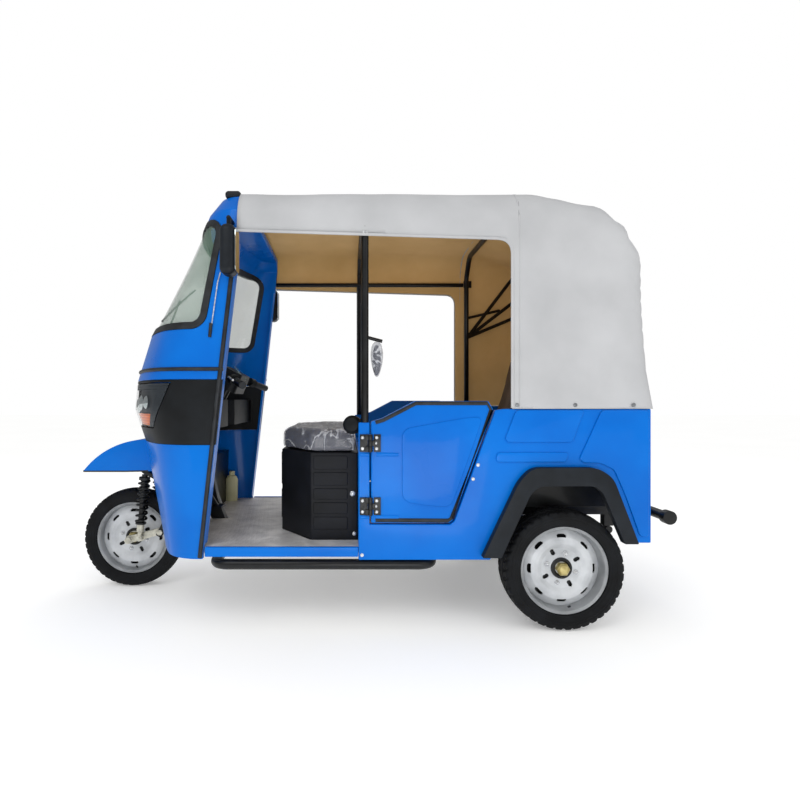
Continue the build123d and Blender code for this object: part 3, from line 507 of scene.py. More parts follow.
# Half sections, as shares of the width and radii: the tyre's side, and the disc from its rim inward
sidewall = ((0.34, 168.6), (0.375, 176), (0.41, 180), (0.43, 181), (0.435, 184), (0.446, 189), (0.456, 190),
            (0.458, 192), (0.466, 195), (0.478, 200), (0.488, 205), (0.496, 206), (0.498, 209), (0.494, 210),
            (0.495, 214), (0.5, 215), (0.5, 218), (0.492, 219), (0.486, 224), (0.47, 230), (0.448, 234.5))
discLine = ((157, 0.02), (150, 0.05), (138, 0.10), (126, 0.15), (112, 0.165), (100, 0.155), (90, 0.12),
            (82, 0.095), (60, 0.09), (46, 0.10), (36, 0.13), (20, 0.13), (1, 0.13))


def discAcross(radius):
    for (outer, a), (inner, b) in zip(discLine, discLine[1:]):
        if inner <= radius <= outer:
            return b + (a - b) * (radius - inner) / (outer - inner)
    return discLine[0][1]


def makeWheel(name, spec):
    width, side, place, body = spec["width"], spec["side"], spec["place"], name + "_wheel"
    crown = [(0.43 - 0.86 * k / 30) for k in range(31)]
    profile = [(-a * width, r) for a, r in sidewall]
    profile += [(-a * width, 241.8 - 5.0 * (abs(a) / 0.43) ** 2.5) for a in crown]
    profile += [(a * width, r) for a, r in reversed(sidewall)]
    profile.append(profile[0])

    def tread(across, radius, turn):
        part = abs(across) / width
        if radius < 222 or part > 0.49:
            return 0
        beat = (turn * spec["blocks"] / (2 * math.pi) + part * 1.6 + (0.5 if across > 0 else 0)) % 1
        groove = abs(part - 0.16) < 0.022 or part < 0.02
        lug = part > 0.18 and abs(beat - 0.5) < 0.14
        sipe = 0.03 < part < 0.15 and abs(beat - 0.2) < 0.08
        return (-5.5 if radius > 233 else -3.0) if groove or lug else (-2.5 if sipe else 0)

    shape = lathe(profile, place, 230, tread)
    bmesh.ops.remove_doubles(shape, verts=shape.verts, dist=0.00001)
    outward(shape)
    tyre = addTrim(name + "Tyre", shape, "tyre", body, 35)
    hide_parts(name + "_tyre")

    barrel = [(-0.395, 176), (-0.385, 171), (-0.365, 165), (-0.30, 161), (0, 155), (0.30, 161), (0.365, 165),
              (0.385, 171), (0.395, 176)]
    rimShape = lathe([(a * width, r) for a, r in barrel], place, 96)
    thicken(rimShape, 0.003)
    radii = [157 - 156 * k / 84 for k in range(85)]
    disc = lathe([(side * discAcross(r) * width, r) for r in radii], place, 300)
    gone = []
    for face in disc.faces:
        spot = face.calc_center_median() / mm - Vector(place)
        reach = math.hypot(spot.x, spot.z)
        turn = math.degrees(math.atan2(spot.z, spot.x))
        eighth = (turn + 22.5) % 45 - 22.5
        quarter = math.radians((turn - 29 + 45) % 90 - 45)
        slotEnd = max(0, abs(math.radians(eighth)) * reach - 13)
        slot = math.hypot(slotEnd, reach - 131) < 6.5
        oval = math.hypot(math.tan(quarter) * reach, max(0, abs(reach - 73) - 6)) < 8.5
        if slot or oval:
            gone.append(face)
    bmesh.ops.delete(disc, geom=gone, context="FACES")
    thicken(disc, 0.004)
    rim = addTrim(name + "Rim", joined([rimShape, disc]), "silver", body, 40)
    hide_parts(name + "_rim")

    studFace = place[1] + side * (0.11 * width - 2)
    drumLine = ((-0.30, 20), (-0.30, 97), (-0.12, 97), (-0.12, 150), (-0.07, 150), (-0.07, 97), (0.04, 97),
                (0.04, 20))
    drum = lathe([(a * side * width, r) for a, r in drumLine], place, 64)
    outward(drum)
    addTrim(name + "Drum", drum, "enamelBlack", body, 30)
    ring = lathe([(side * 0.12 * width, 44), (side * 0.19 * width, 42), (side * 0.20 * width, 33),
                  (side * 0.15 * width, 25)], place, 48)
    addTrim(name + "HubRing", ring, "enamelBlack", body, 30)
    nut = button((place[0], place[1] + side * 0.16 * width, place[2]), (0, side, 0), 27, 32, 6, 0.3)
    addTrim(name + "HubNut", nut, "brass", body, 20)
    studs = []
    for k in range(4):
        turn = math.radians(74 + 90 * k)
        spot = (place[0] + 62 * math.cos(turn), studFace, place[2] + 62 * math.sin(turn))
        studs.append(button(spot, (0, side, 0), 11, 11, 6, 0.25))
        studs.append(button((spot[0], spot[1] + side * 9, spot[2]), (0, side, 0), 6, 7, 12, 0.4))
    addTrim(name + "WheelNuts", joined(studs), "bolt", body, 25)
    valve = tube([(place[0] + 20, place[1] + side * 0.30 * width, place[2] - 150),
                  (place[0] + 20, place[1] + side * 0.42 * width, place[2] - 142)], 4, 10)
    addTrim(name + "Valve", valve, "seal", body, 30)


for wheelName, wheelSpec in wheels.items():
    makeWheel(wheelName, wheelSpec)
print("wheels made")

# Canopy: one sheet of coated canvas, pulled over the bows and sagging a little between them
hood = {
    "top": ((-478, 1812), (50, 1834), (703, 1804), (990, 1720), (1080, 1630), (1146, 1510), (1199, 893)),
    "ends": ((571, 893), (571, 1628), (566, 1672), (549, 1722), (520, 1762), (484, 1789), (330, 1813),
             (160, 1828), (0, 1833)),
    "sag": (5, 6, 10, 7, 7, 12), "blend": 36, "centre": 893, "pivot": 700,
    "front": -478, "edge": 622, "corner": 62,
}


def edgeDistance(point, start, end, sag):
    run = (end[0] - start[0], end[1] - start[1])
    length = math.hypot(*run)
    part = ((point[0] - start[0]) * run[0] + (point[1] - start[1]) * run[1]) / length ** 2
    away = ((point[1] - start[1]) * run[0] - (point[0] - start[0]) * run[1]) / length
    return away + sag * 4 * max(0, min(1, part)) * (1 - max(0, min(1, part)))


def softMax(a, b, width):
    h = max(width - abs(a - b), 0) / width
    return max(a, b) + h * h * width / 4


def hoodDistance(x, y, z):
    lengthwise = -1e4
    for k, (start, end) in enumerate(zip(hood["top"], hood["top"][1:])):
        lengthwise = softMax(lengthwise, edgeDistance((x, z), start, end, hood["sag"][k]), 14)
    across = -1e4
    for start, end in zip(hood["ends"][1:], hood["ends"][2:]):
        across = softMax(across, edgeDistance((-abs(y), z), (-start[0], start[1]), (-end[0], end[1]), 0), 10)
    across = softMax(across, abs(y) - hood["ends"][0][0], 10)
    return softMax(lengthwise, across, hood["blend"])


def hoodReach(origin, way):
    low, high = 100, 1400
    for _ in range(22):
        middle = (low + high) / 2
        if hoodDistance(*(o + w * middle for o, w in zip(origin, way))) < 0:
            low = middle
        else:
            high = middle
    return low


def hoodSheet():
    shape = bmesh.new()
    columns = []
    turns = [math.pi * k / 110 for k in range(111)]
    stations = [hood["front"] + (hood["pivot"] - hood["front"]) * k / 56 for k in range(57)]
    leans = [math.pi / 2 * k / 60 for k in range(1, 61)]
    for station in stations + leans:
        rear = station in leans
        origin = (hood["pivot"], 0, hood["centre"]) if rear else (station, 0, hood["centre"])
        tip = (math.sin(station), math.cos(station)) if rear else (0, 1)
        column = []
        for turn in turns:
            way = (math.sin(turn) * tip[0], -math.cos(turn), math.sin(turn) * tip[1])
            reach = hoodReach(origin, way)
            spot = Vector((o + w * reach for o, w in zip(origin, way)))
            rumple = noise.noise(Vector((spot.x * 0.0035, spot.y * 0.004, spot.z * 0.0025 + 7)))
            fold = noise.noise(Vector((spot.x * 0.012 + spot.z * 0.004, spot.y * 0.010, spot.z * 0.003 + 3)))
            slack = 0.35 + 0.65 * min(1, max(0, (spot.x - 650) / 300))
            spot -= Vector(way) * (3.0 + rumple * 5.0 + fold * 4.5 * slack)
            column.append(shape.verts.new(spot * mm))
        columns.append(column)
    bridge(shape, columns, False)
    bmesh.ops.remove_doubles(shape, verts=shape.verts, dist=0.0005)
    bmesh.ops.dissolve_degenerate(shape, edges=shape.edges, dist=0.0001)
    outward(shape)
    if sum(f.normal.z for f in shape.faces) < 0:
        bmesh.ops.reverse_faces(shape, faces=shape.faces)
    return shape


sheetShape = hoodSheet()
thicken(sheetShape, 0.0024)
canvas = addTrim("canopyCanvas", sheetShape, ("canvas", "lining"), "body", 0)
doorway = [(-560, 700, 0), (hood["edge"], 700, 0), (hood["edge"], 1572, 0), (-560, 1608, 0)]
doorwayCut = [(p.x, p.y) for p in rounded(doorway, hood["corner"], 10, True)]
cutBy(canvas, [slab(doorwayCut, -700, 700)])
for face in canvas.data.polygons:
    face.use_smooth = True
    spot = face.center / mm
    inward = Vector((hood["pivot"] if spot.x > hood["pivot"] else spot.x, 0, hood["centre"])) - spot
    face.material_index = 1 if face.normal.dot(inward) > 0.05 * inward.length else 0
flapShape = bmesh.new()
flapRows = []
for k in range(101):
    turn = math.pi * (0.29 + 0.42 * k / 100)
    way = (0, -math.cos(turn), math.sin(turn))
    edge = Vector((0, 0, hood["centre"])) + Vector(way) * (hoodReach((-476, 0, hood["centre"]), way) - 3)
    inner = Vector((0, edge.y * 0.985, 1773)) if edge.z > 1787 else edge - Vector(way) * 13
    flapRows.append([flapShape.verts.new((-477 * mm, p.y * mm, p.z * mm)) for p in (edge, inner)])
bridge(flapShape, flapRows, False)
outward(flapShape)
thicken(flapShape, 0.002)
flap = addTrim("canopyFrontFlap", flapShape, "canvas", "body", 0)
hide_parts("canopy")

# Cab shell, so that trim follows its curves: level, nose, half width, front radius, corner radius
cowlRows = ((290, -900, 560, 1000, 170), (747, -1005, 563, 760, 230), (880, -1050, 565, 760, 230),
            (1010, -1040, 565, 760, 230), (1206, -980, 560, 760, 230), (1700, -690, 545, 1400, 150),
            (1770, -622, 492, 1800, 100))


def mirrored(shape):
    other = shape.copy()
    other.transform(Matrix.Scale(-1, 4, (0, 1, 0)))
    bmesh.ops.reverse_faces(other, faces=other.faces)
    return other


def bothSides(shapes):
    whole = joined(shapes)
    return joined([mirrored(whole), whole])


def cowlRow(level):
    for low, high in zip(cowlRows, cowlRows[1:]):
        if low[0] <= level <= high[0]:
            part = (level - low[0]) / (high[0] - low[0])
            return [a + (b - a) * part for a, b in zip(low[1:], high[1:])]
    return list(cowlRows[-1][1:])


def doorEdge(level):
    return -618 + (level - 292) * 0.1104


def halfLine(level, inset=0.0):
    nose, half, frontR, cornerR = cowlRow(level)
    nose, half, frontR, cornerR = nose + inset, half - inset, frontR - inset, cornerR - inset
    reach = math.sqrt((frontR - cornerR) ** 2 - (half - cornerR) ** 2)
    middle = nose + frontR
    corner = middle - reach
    turn = math.atan2(half - cornerR, reach)
    line = [(middle - frontR * math.cos(turn * k / 24), -frontR * math.sin(turn * k / 24)) for k in range(25)]
    for k in range(1, 17):
        bend = turn + (math.pi / 2 - turn) * k / 16
        line.append((corner - cornerR * math.cos(bend), -(half - cornerR) - cornerR * math.sin(bend)))
    line.append((doorEdge(level), -half))
    return line


def resample(line, count):
    spots = [Vector((x, y)) for x, y in line]
    total = sum((b - a).length for a, b in zip(spots, spots[1:]))
    result, walked, index = [], 0.0, 0
    for k in range(count):
        goal = total * k / (count - 1)
        while index < len(spots) - 2 and walked + (spots[index + 1] - spots[index]).length < goal:
            walked += (spots[index + 1] - spots[index]).length
            index += 1
        span = (spots[index + 1] - spots[index]).length or 1
        result.append(spots[index].lerp(spots[index + 1], min(1, max(0, (goal - walked) / span))))
    return result


def lampRun(level, inset, start, end, count):
    fine = resample(halfLine(level, inset), 500)
    limit = -838 + (level - 812) * 90 / 188
    kept = [(p.x, p.y) for p in fine if p.y < -188 and p.x < limit]
    run = resample(kept, 101)
    return resample([tuple(p) for p in run[int(start * 100):int(end * 100) + 1]], count)


def cowlPatch(levels, inset, start, end, count, thick):
    shape = bmesh.new()
    rows = [[shape.verts.new((p.x * mm, p.y * mm, level * mm))
             for p in lampRun(level, inset, start, end, count)] for level in levels]
    bridge(shape, rows, False)
    outward(shape)
    if sum(f.normal.y for f in shape.faces) > 0:
        bmesh.ops.reverse_faces(shape, faces=shape.faces)
    thicken(shape, thick * mm)
    return shape


# Headlamps: tinted clear cover, dark bowl, bright reflectors and an amber corner
lampLevels = [816 + 180 * k / 10 for k in range(11)]
lens = addTrim("headlampCover", bothSides([cowlPatch(lampLevels, -3, 0, 1, 40, 3)]), "lensClear")
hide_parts("headlamps")
addTrim("headlampBowl", bothSides([cowlPatch(lampLevels, 18, 0, 1, 30, 2)]), "plastic")
lampFrame = [cowlPatch(lampLevels, 1, 0.9, 1, 6, 8), cowlPatch([972, 984, 996], 1, 0, 1, 30, 8)]
addTrim("headlampFrame", bothSides(lampFrame), "flare")
indicator = cowlPatch([822 + 8 * k for k in range(7)], 8, 0.25, 0.88, 24, 3)
addTrim("indicatorLens", bothSides([indicator]), "lensAmber")
bowls = []
for part, level, size in ((0.2, 905, 36), (0.45, 915, 34), (0.68, 918, 28)):
    spot = lampRun(level, 15, part, part + 0.02, 2)[0]
    bowls.append(button((spot.x, spot.y, level), (-0.8, -0.55, 0.05), size, 11, 28, 0.8))
addTrim("lampReflectors", bothSides(bowls), "mirror")

# Cowl trim: a black bead above the lamps, and rubber along the door edges with the painted jamb behind it
bead = [(p.x, p.y, 1052) for p in resample(halfLine(1052, -1), 60)]
beadLine = bead[::-1] + [(x, -y, z) for x, y, z in bead[1:]]
addTrim("cowlBead", tube(beadLine, 8, 10), "seal")
edgeLine = [(doorEdge(z) - 10, -cowlRow(z)[1] - 1, z) for z in [296 + 1296 * k / 40 for k in range(41)]]
addTrim("doorEdgeRubber", bothSides([tube(edgeLine, 9, 10)]), "seal")
jamb = []
for low in range(345, 1570, 49):
    high = low + 49
    corners = []
    for z in (low, high):
        half = cowlRow(z)[1]
        corners.append([(doorEdge(z) - 12, -half + 26), (doorEdge(z), -half + 26), (doorEdge(z), -half + 58),
                        (doorEdge(z) - 12, -half + 58)])
    shape = bmesh.new()
    rings = [[shape.verts.new((x * mm, y * mm, z * mm)) for x, y in ring]
             for ring, z in zip(corners, (low, high))]
    bridge(shape, rings)
    jamb.append(shape)
addTrim("doorJamb", bothSides(jamb), "blue", smooth=30)
guardEdge = [(-1298, -146, 588), (-1100, -146, 588), (-990, -146, 590)]
addTrim("mudguardEdge", joined([tube(guardEdge, 5, 8), tube([(x, -y, z) for x, y, z in guardEdge], 5, 8),
                                tube([(-1298, -146, 588), (-1298, 146, 588)], 5, 8)]), "seal")

# Wiper, aerial and mirror faces
def onScreen(level, y, inset):
    line = resample(halfLine(level, inset), 300)
    spot = min(line, key=lambda p: abs(p.y + abs(y)))
    return (spot.x, math.copysign(spot.y, y) if y else 0, level)


wiperArm = [onScreen(1196, 60, -10), onScreen(1250, 30, -14), onScreen(1420, -60, -13)]
wiperBlade = [onScreen(1300 + 24 * k, -170 + 26 * k, -7) for k in range(9)]
addTrim("wiper", joined([tube(wiperArm, 5, 8), tube(wiperBlade, 5, 8)]), "enamelBlack")
aerial = [(-583, -563, 1205), (-578, -566, 1235), (-556, -562, 1400), (-545, -560, 1440)]
addTrim("aerialRod", tube(aerial, 2.5, 8), "bolt")
addTrim("aerialFoot", tube([(-588, -560, 1180), (-582, -564, 1236)], 7, 10), "seal")
mirrorFace = roundSlab(rectangle(-648, 1428, -576, 1596), -469, -466.5, 20, 0, "x")
addTrim("mirrorFaces", bothSides([mirrorFace]), "mirror")

# Doors: raised field, rubber round the edge, short beads by the hinges and hinge bolts
doorField = [(182, 522), (182, 812), (434, 856), (506, 862), (378, 500), (302, 504)]
doorRim = [(76, 448), (76, 838), (108, 848), (238, 915), (522, 915), (538, 888), (380, 456), (366, 446)]
beadLevels, hingeLevels = (710, 460), (504, 756)
for sideName, side in (("left", -1), ("right", 1)):
    body = sideName + "_door"
    low, high = sorted((side * 564, side * 569.5))
    field = roundSlab(doorField, low, high, 40, 4.5)
    beads = [tube([(78, side * 565, z), (168, side * 565, z)], 8, 10, flat=(side * 565, 0.5))
             for z in beadLevels]
    addTrim("doorField" + sideName, joined([field] + beads), "blue", body, 40)
    rim = tube([(x, side * 566, z) for x, z in doorRim[1:] + doorRim[:1]], 8, 10, flat=(side * 566, 0.5))
    addTrim("doorRubber" + sideName, rim, "seal", body)
    leafBolts = [button((x, side * 569.5, level + dz), (0, side, 0), 6.5, 4.5) for level in hingeLevels
                 for x, dz in ((80, 22), (80, -22), (76, 0))]
    addTrim("doorBolts" + sideName, joined(leafBolts), "bolt", body)

# Rear quarter: raised pressings, beads, and the bolts on the body and post
pressings = (
    [(637, 888), (593, 775), (603, 759), (855, 759), (866, 769), (910, 888)],
    [(560, 719), (848, 719), (838, 680), (556, 680)],
    [(979, 888), (889, 694), (905, 677), (970, 677), (1028, 650), (1074, 544), (1132, 382), (1166, 382),
     (1166, 888)],
)
quarter = [roundSlab(outline, -571.5, -563.5, 16, 6) for outline in pressings]
quarter += [tube([(14, -565, z), (50, -565, z)], 8, 10, flat=(-565, 0.5)) for z in beadLevels]
addTrim("quarterPressings", bothSides(quarter), "blue", smooth=40)
loose = [button((x, -565, z), (0, -1, 0), 7, 4) for x, z in ((486, 668), (466, 612), (22, 308))]
loose += [button((x, -569.5, level + dz), (0, -1, 0), 6.5, 4.5) for level in hingeLevels
          for x, dz in ((24, 22), (24, -22))]
loose += [button((post, -565, 1600), (0, -1, 0), 6, 4) for post in (28, 40)]
addTrim("bodyBolts", bothSides(loose), "bolt")

# Rear face: pressed frame, blank plate and its bolts
rearFrame = rounded([(1178, -395, 540), (1178, -395, 850), (1178, 395, 850), (1178, 395, 540)], 40, 6, True)
addTrim("rearPressing", tube(rearFrame, 8, 10, True), "blue")
plate = roundSlab(rectangle(-170, 610, 170, 720), 1178.2, 1181, 12, 0, "x")
addTrim("blankPlate", plate, "plate")
plateBolts = [button((1181, y, 665), (1, 0, 0), 7, 4) for y in (-145, 145)]
addTrim("plateBolts", joined(plateBolts), "bolt")

# Wheel-arch flares: each corner with the size of its bend
flareOutline = ((497, 305, 5), (640, 606, 60), (693, 661, 60), (948, 661, 60), (1011, 622, 60),
                (1112, 360, 5), (1056, 360, 5), (968, 566, 40), (938, 588, 40), (722, 588, 40),
                (688, 560, 40), (570, 305, 5))
flareLine = []
for k, (x, z, bend) in enumerate(flareOutline):
    before, after = flareOutline[k - 1], flareOutline[(k + 1) % len(flareOutline)]
    corner = rounded([(before[0], before[1], 0), (x, z, 0), (after[0], after[1], 0)], bend, 6)[1:-1]
    flareLine += [(p.x, p.y) for p in corner]
flare = slab(flareLine, -600, -565.2)
softenEdges(flare, 9, 50)
flares = addTrim("archFlares", bothSides([flare]), "flare", smooth=50)
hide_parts("wheel_flares")

# Hem: bound doorway edge, roof seam and turn-button studs
hemLine = [(-476, -570, 1605), (hood["edge"], -570, 1571), (hood["edge"], -570, 897)]
hemEdge = rounded(hemLine, hood["corner"], 8)
seamOrigin = (652, 0, hood["centre"])
roofSeam = []
for k in range(61):
    turn = math.pi * k / 60
    way = (0, -math.cos(turn), math.sin(turn))
    reach = hoodReach(seamOrigin, way) - 1.5
    roofSeam.append(tuple(o + w * reach for o, w in zip(seamOrigin, way)))
addTrim("canopyBinding", joined([bothSides([tube(hemEdge, 6, 8, flat=(-570, 0.6))]), tube(roofSeam, 3.5, 8)]),
        "canvas")
studs = [button((x, -570, 908), (0, -1, 0), 8, 6) for x in (640, 872, 1105)]
addTrim("hemStuds", bothSides(studs), "castMotor")
print("cab and body trim made")

# Cushions: each solid is drawn in, remeshed and blown up by Blender's cloth, then held near its own outline
padSettings = {
    "driver_cushion": {"finish": "vinyl", "draw": 7, "cap": 14, "voxel": 0.009},
    "bench_cushion": {"finish": "brownVinyl", "draw": 9, "cap": 18, "voxel": 0.011},
    "bench_backrest": {"finish": "brownVinyl", "draw": 10, "cap": 20, "voxel": 0.013},
}


def bakeModifiers(piece):
    bpy.context.view_layer.update()
    mesh = bpy.data.meshes.new_from_object(piece.evaluated_get(bpy.context.evaluated_depsgraph_get()))
    piece.modifiers.clear()
    piece.data = mesh


def padPiece(node, spec):
    shape = bmesh.new()
    shape.from_mesh(frame["nodes"][node].data)
    bmesh.ops.remove_doubles(shape, verts=shape.verts, dist=0.00002)
    low = Vector([min(v.co[k] for v in shape.verts) for k in range(3)])
    high = Vector([max(v.co[k] for v in shape.verts) for k in range(3)])
    middle = (low + high) / 2
    for vert in shape.verts:
        for k in range(3):
            size = high[k] - low[k]
            vert.co[k] = middle[k] + (vert.co[k] - middle[k]) * (size - 2 * spec["draw"] * mm) / size
    piece = addTrim(node + "Pad", shape, spec["finish"], nodeBody[node], 0)
    remesh = piece.modifiers.new("remesh", "REMESH")
    remesh.mode = "VOXEL"
    remesh.voxel_size = spec["voxel"]
    bakeModifiers(piece)
    start = [v.co.copy() for v in piece.data.vertices]
    cloth = piece.modifiers.new("cloth", "CLOTH")
    cloth.settings.use_pressure = True
    cloth.settings.uniform_pressure_force = 4
    cloth.settings.effector_weights.gravity = 0
    cloth.settings.quality = 5
    for step in range(1, 21):
        scene.frame_set(step)
    bakeModifiers(piece)
    scene.frame_set(1)
    for vert, origin in zip(piece.data.vertices, start):
        move = vert.co - origin
        if move.length > spec["cap"] * mm:
            vert.co = origin + move.normalized() * spec["cap"] * mm
        for k in range(3):
            vert.co[k] = min(max(vert.co[k], low[k] + 0.0004), high[k])
    piece.data.materials.clear()
    piece.data.materials.append(finishes[spec["finish"]])
    for face in piece.data.polygons:
        face.use_smooth = True
    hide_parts(node)
    return piece


pads = {node: padPiece(node, spec) for node, spec in padSettings.items()}
print("cushions made:", [len(p.data.polygons) for p in pads.values()])

# Polythene still wrapped round the driver's cushion, loose and creased, with a ragged lower edge
wrap = {"lift": 2.5, "crease": 5.0}
wrapShape = bmesh.new()
wrapShape.from_mesh(pads["driver_cushion"].data)
wrapShape.normal_update()
under = [f for f in wrapShape.faces if f.normal.z < -0.55]
bmesh.ops.delete(wrapShape, geom=under, context="FACES")
wrapShape.normal_update()
for vert in wrapShape.verts:
    spot = vert.co / mm
    crease = abs(noise.noise(Vector((spot.x * 0.018, spot.y * 0.018, spot.z * 0.010 + 5))))
    fine = noise.noise(Vector((spot.x * 0.05, spot.y * 0.05, spot.z * 0.03)))
    vert.co += vert.normal * (wrap["lift"] + wrap["crease"] * (1 - crease * 2.2) * 0.8 + fine * 1.6) * mm
    if spot.z < 735:
        ragged = noise.noise(Vector((spot.x * 0.02, spot.y * 0.02, 1.5)))
        vert.co.z -= (735 - spot.z) * 0.25 * max(0, ragged + 0.3) * mm
    vert.co.x = min(vert.co.x, 6.5 * mm)
outward(wrapShape)
film = addTrim("cushionFilm", wrapShape, "film", "body", 0)

# Seat box: pressed ribs on both ends and the front, a lock and two bolts
ribs = []
for low, high in ((381, 433), (446, 494), (507, 553), (566, 622), (635, 692)):
    ribs.append(roundSlab(rectangle(-180, low, -36, high), -443.5, -436, 8, 3))
boxRibs = bothSides(ribs)
front = [roundSlab(rectangle(-235, low, 235, high), -341, -335, 10, 3, "x")
         for low, high in ((385, 520), (540, 690))]
addTrim("seatBoxRibs", joined([boxRibs] + front), "boxPlastic", smooth=40)
lock = [button((-15, -439, 532), (0, -1, 0), 11, 5), button((-8, -439, 362), (0, -1, 0), 8, 4)]
addTrim("seatBoxLock", bothSides(lock), "bolt")

# Front springs: damper, bellows, wound coil and caps, between the link and the yoke
lean = math.radians(28)


def steerPoint(x, y, z):
    return (-1168 + z * math.sin(lean) + x * math.cos(lean), y, z * math.cos(lean) - x * math.sin(lean))


def upShock(part, y, out=0.0, turn=0.0):
    foot, head = Vector(steerPoint(-15.5, y, 280.5)), Vector(steerPoint(-140.2, y, 572))
    way = (head - foot).normalized()
    side = Vector((0, 1, 0))
    rise = way.cross(side)
    return foot.lerp(head, part) + (side * math.cos(turn) + rise * math.sin(turn)) * out


rods, boots, coils, eyes = [], [], [], []
for y in (-100, 100):
    rods.append(tube([upShock(0.22, y), upShock(0.98, y)], 14, 16))
    eyes.append(tube([upShock(0, y), upShock(0.12, y)], 10, 16))
    eyes.append(tube([steerPoint(-15.5, y + out, 280.5) for out in (-12, 12)], 14, 20))
    eyes.append(tube([upShock(0.10, y), upShock(0.24, y)], 17, 20))
    for k in range(9):
        start = 0.62 + 0.032 * k
        boots.append(tube([upShock(start, y), upShock(start + 0.016, y)], 21 if k % 2 else 17, 20))
    boots.append(tube([upShock(0.90, y), upShock(0.94, y)], 26, 24))
    boots.append(tube([upShock(0.22, y), upShock(0.245, y)], 25, 24))
    wire = [upShock(0.24 + 0.66 * k / 220, y, 23, 2 * math.pi * 8 * k / 220) for k in range(221)]
    coils.append(tube(wire, 6, 8))
addTrim("shockCoils", joined(coils), "enamelBlack", "steer")
addTrim("shockRods", joined(rods), "enamelBlack", "steer")
shocks = addTrim("shockEyes", joined(eyes), "zinc", "steer")
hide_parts("front_shocks")
addTrim("shockBoots", joined(boots), "seal", "steer")
axleNuts = [button((-1108, y, 242), (0, way, 0), 17, 11, 6, 0.3) for y, way in ((-96, -1), (96, 1))]
pivot = steerPoint(63, 0, 358.6)
axleNuts += [button((pivot[0], y, pivot[2]), (0, way, 0), 14, 8, 6, 0.3) for y, way in ((-122, -1), (122, 1))]
addTrim("axleNuts", joined(axleNuts), "zinc", "steer")

# Steering head: brake levers, switch boxes, and a round clock in the cover
levers, boxes = [], []
for side in (-1, 1):
    inner, outer = Vector(steerPoint(62, side * 238, 1187)), Vector(steerPoint(112, side * 318, 1189))
    ahead = Vector(steerPoint(-46, 0, 0)) - Vector(steerPoint(0, 0, 0))
    levers.append(tube(rounded([inner, inner + ahead * 0.8, outer + ahead * 0.9], 22), 5, 8))
    boxes.append(tube([inner - (outer - inner) * 0.35, inner + (outer - inner) * 0.02], 24, 16))
addTrim("brakeLevers", joined(levers), "bolt", "steer")
addTrim("switchBoxes", joined(boxes), "plastic", "steer")
clockWay = Vector(steerPoint(40, 0, 100)) - Vector(steerPoint(0, 0, 0))
clock = button(steerPoint(20, 0, 1213), clockWay, 46, 7, 40, 0.3)
addTrim("clockFace", clock, "glass", "steer")

# Loose fittings: fluid bottle in the footwell, belt reel by the post, and a wrapped spare mirror
bottle = button((-724, 452, 335.5), (0.02, 0, 1), 36, 150, 28, 0.18)
cap = button((-721, 452, 484), (0.02, 0, 1), 17, 26, 20, 0.2)
addTrim("fluidBottle", joined([bottle, cap]), "bottle")
reel = [button((-14, -508, 826), (-0.2, -1, 0.1), 38, 34, 30, 0.5),
        button((-14, -508, 826), (0.2, 1, 0), 38, 18, 30, 0.5),
        tube([(-14, -520, 822), (30, -534, 850)], 9, 12)]
addTrim("beltReel", joined(reel), "plastic")
hang = bmesh.new()
bmesh.ops.create_uvsphere(hang, u_segments=40, v_segments=30, radius=1)
for vert in hang.verts:
    ripple = noise.noise(vert.co * 3.2) * 0.10
    taper = 1.0 + 0.28 * vert.co.z
    vert.co = Vector((82 + vert.co.x * (24 + 10 * ripple) * taper, -550 + vert.co.y * 22 * taper,
                      1092 + vert.co.z * 72 + ripple * 30)) * mm
addTrim("wrappedMirror", hang, "film", smooth=0)
core = bmesh.new()
bmesh.ops.create_uvsphere(core, u_segments=32, v_segments=20, radius=1)
for vert in core.verts:
    vert.co = Vector((81 + vert.co.x * 17, -550 + vert.co.y * 15, 1088 + vert.co.z * 62)) * mm
addTrim("spareMirror", core, "flare", smooth=0)
addTrim("spareMirrorArm", tube([(44, -550, 1180), (104, -550, 1164)], 7, 12), "enamelBlack")
print("seat, steering and loose fittings made")

dressed = {node: (finish, bevel) for finish, rows in skins.items() for node, bevel in rows.items()}
for nodeName in sorted(dressed):
    skinNode(nodeName, *dressed[nodeName])
print("solids dressed:", len(dressed))

# Stage: pale floor, soft lamps all round, and the camera square to the left side
stageFloor = {"size": 60.0, "colour": "#FCFCFB"}
bpy.ops.mesh.primitive_plane_add(size=stageFloor["size"], location=(0, 0, 0))
floor = bpy.context.object
floor.name = "studioFloor"
floorMaterial, floorTree, floorShader, floorPlace = newMaterial("paleStudioFloor", {
    "Roughness": 1.0, "Specular IOR Level": 0.0, "Emission Color": (1, 1, 1, 1), "Emission Strength": 0.22})
floorCloud = addNode(floorTree, "ShaderNodeTexNoise", {"Scale": 0.6, "Detail": 2}, {"Vector": floorPlace})
shades(floorTree, floorShader, floorCloud.outputs["Fac"], "#FAFAF9", stageFloor["colour"])
floor.data.materials.append(floorMaterial)

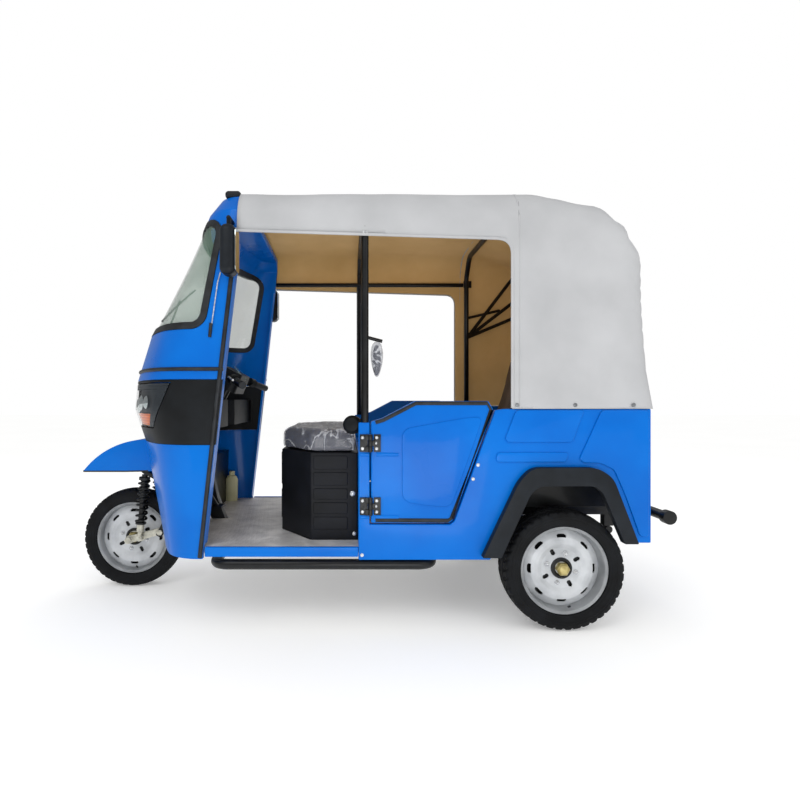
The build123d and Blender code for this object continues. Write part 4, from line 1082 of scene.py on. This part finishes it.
world = bpy.data.worlds.new("studioWorld")
scene.world = world
world.use_nodes = True
worldTree = world.node_tree
skyLight = worldTree.nodes["Background"]
skyLight.inputs["Color"].default_value = (1, 1, 1, 1)
skyLight.inputs["Strength"].default_value = 0.80
skyShine = addNode(worldTree, "ShaderNodeBackground", {"Color": (1, 1, 1, 1), "Strength": 0.36})
skySeen = addNode(worldTree, "ShaderNodeBackground", {"Color": (1, 1, 1, 1), "Strength": 1.0})
rays = addNode(worldTree, "ShaderNodeLightPath")
seen = addNode(worldTree, "ShaderNodeMath", {"operation": "MAXIMUM"},
               {0: rays.outputs["Is Camera Ray"], 1: rays.outputs["Is Transmission Ray"]})
shine = addNode(worldTree, "ShaderNodeMixShader", links={
    0: rays.outputs["Is Glossy Ray"], 1: skyLight.outputs["Background"], 2: skyShine.outputs["Background"]})
chooser = addNode(worldTree, "ShaderNodeMixShader", links={
    0: seen.outputs["Value"], 1: shine.outputs["Shader"], 2: skySeen.outputs["Background"]})
worldTree.links.new(chooser.outputs["Shader"], worldTree.nodes["World Output"].inputs["Surface"])

lamps = (  # name, place, aim, size, power
    ("keyLamp", (-1.8, -4.2, 4.4), (0, 0, 0.7), 2.5, 55),
    ("fillLamp", (3.2, -3.6, 2.6), (0.2, 0, 0.7), 2.5, 20),
    ("backLamp", (0.5, 4.5, 3.8), (0, 0, 0.8), 3.0, 25),
    ("cabLamp", (0.3, -2.6, 0.25), (0.3, 0.3, 1.7), 1.2, 14),
)
for lampName, place, aim, size, power in lamps:
    data = bpy.data.lights.new(lampName, "AREA")
    data.size = size
    data.energy = power
    data.specular_factor = 0.35
    lamp = bpy.data.objects.new(lampName, data)
    lamp.location = place
    lamp.rotation_euler = (Vector(aim) - Vector(place)).to_track_quat("-Z", "Y").to_euler()
    scene.collection.objects.link(lamp)

view = {"place": (-0.034, -2.684, 0.928), "lens": 23.85, "shiftX": 0.065}
cameraData = bpy.data.cameras.new("photoCamera")
cameraData.lens = view["lens"]
cameraData.sensor_width = 36
cameraData.shift_x = view["shiftX"]
camera = bpy.data.objects.new("photoCamera", cameraData)
camera.location = view["place"]
camera.rotation_euler = (math.radians(90), 0, 0)
scene.collection.objects.link(camera)
scene.camera = camera
print("stage and camera set")
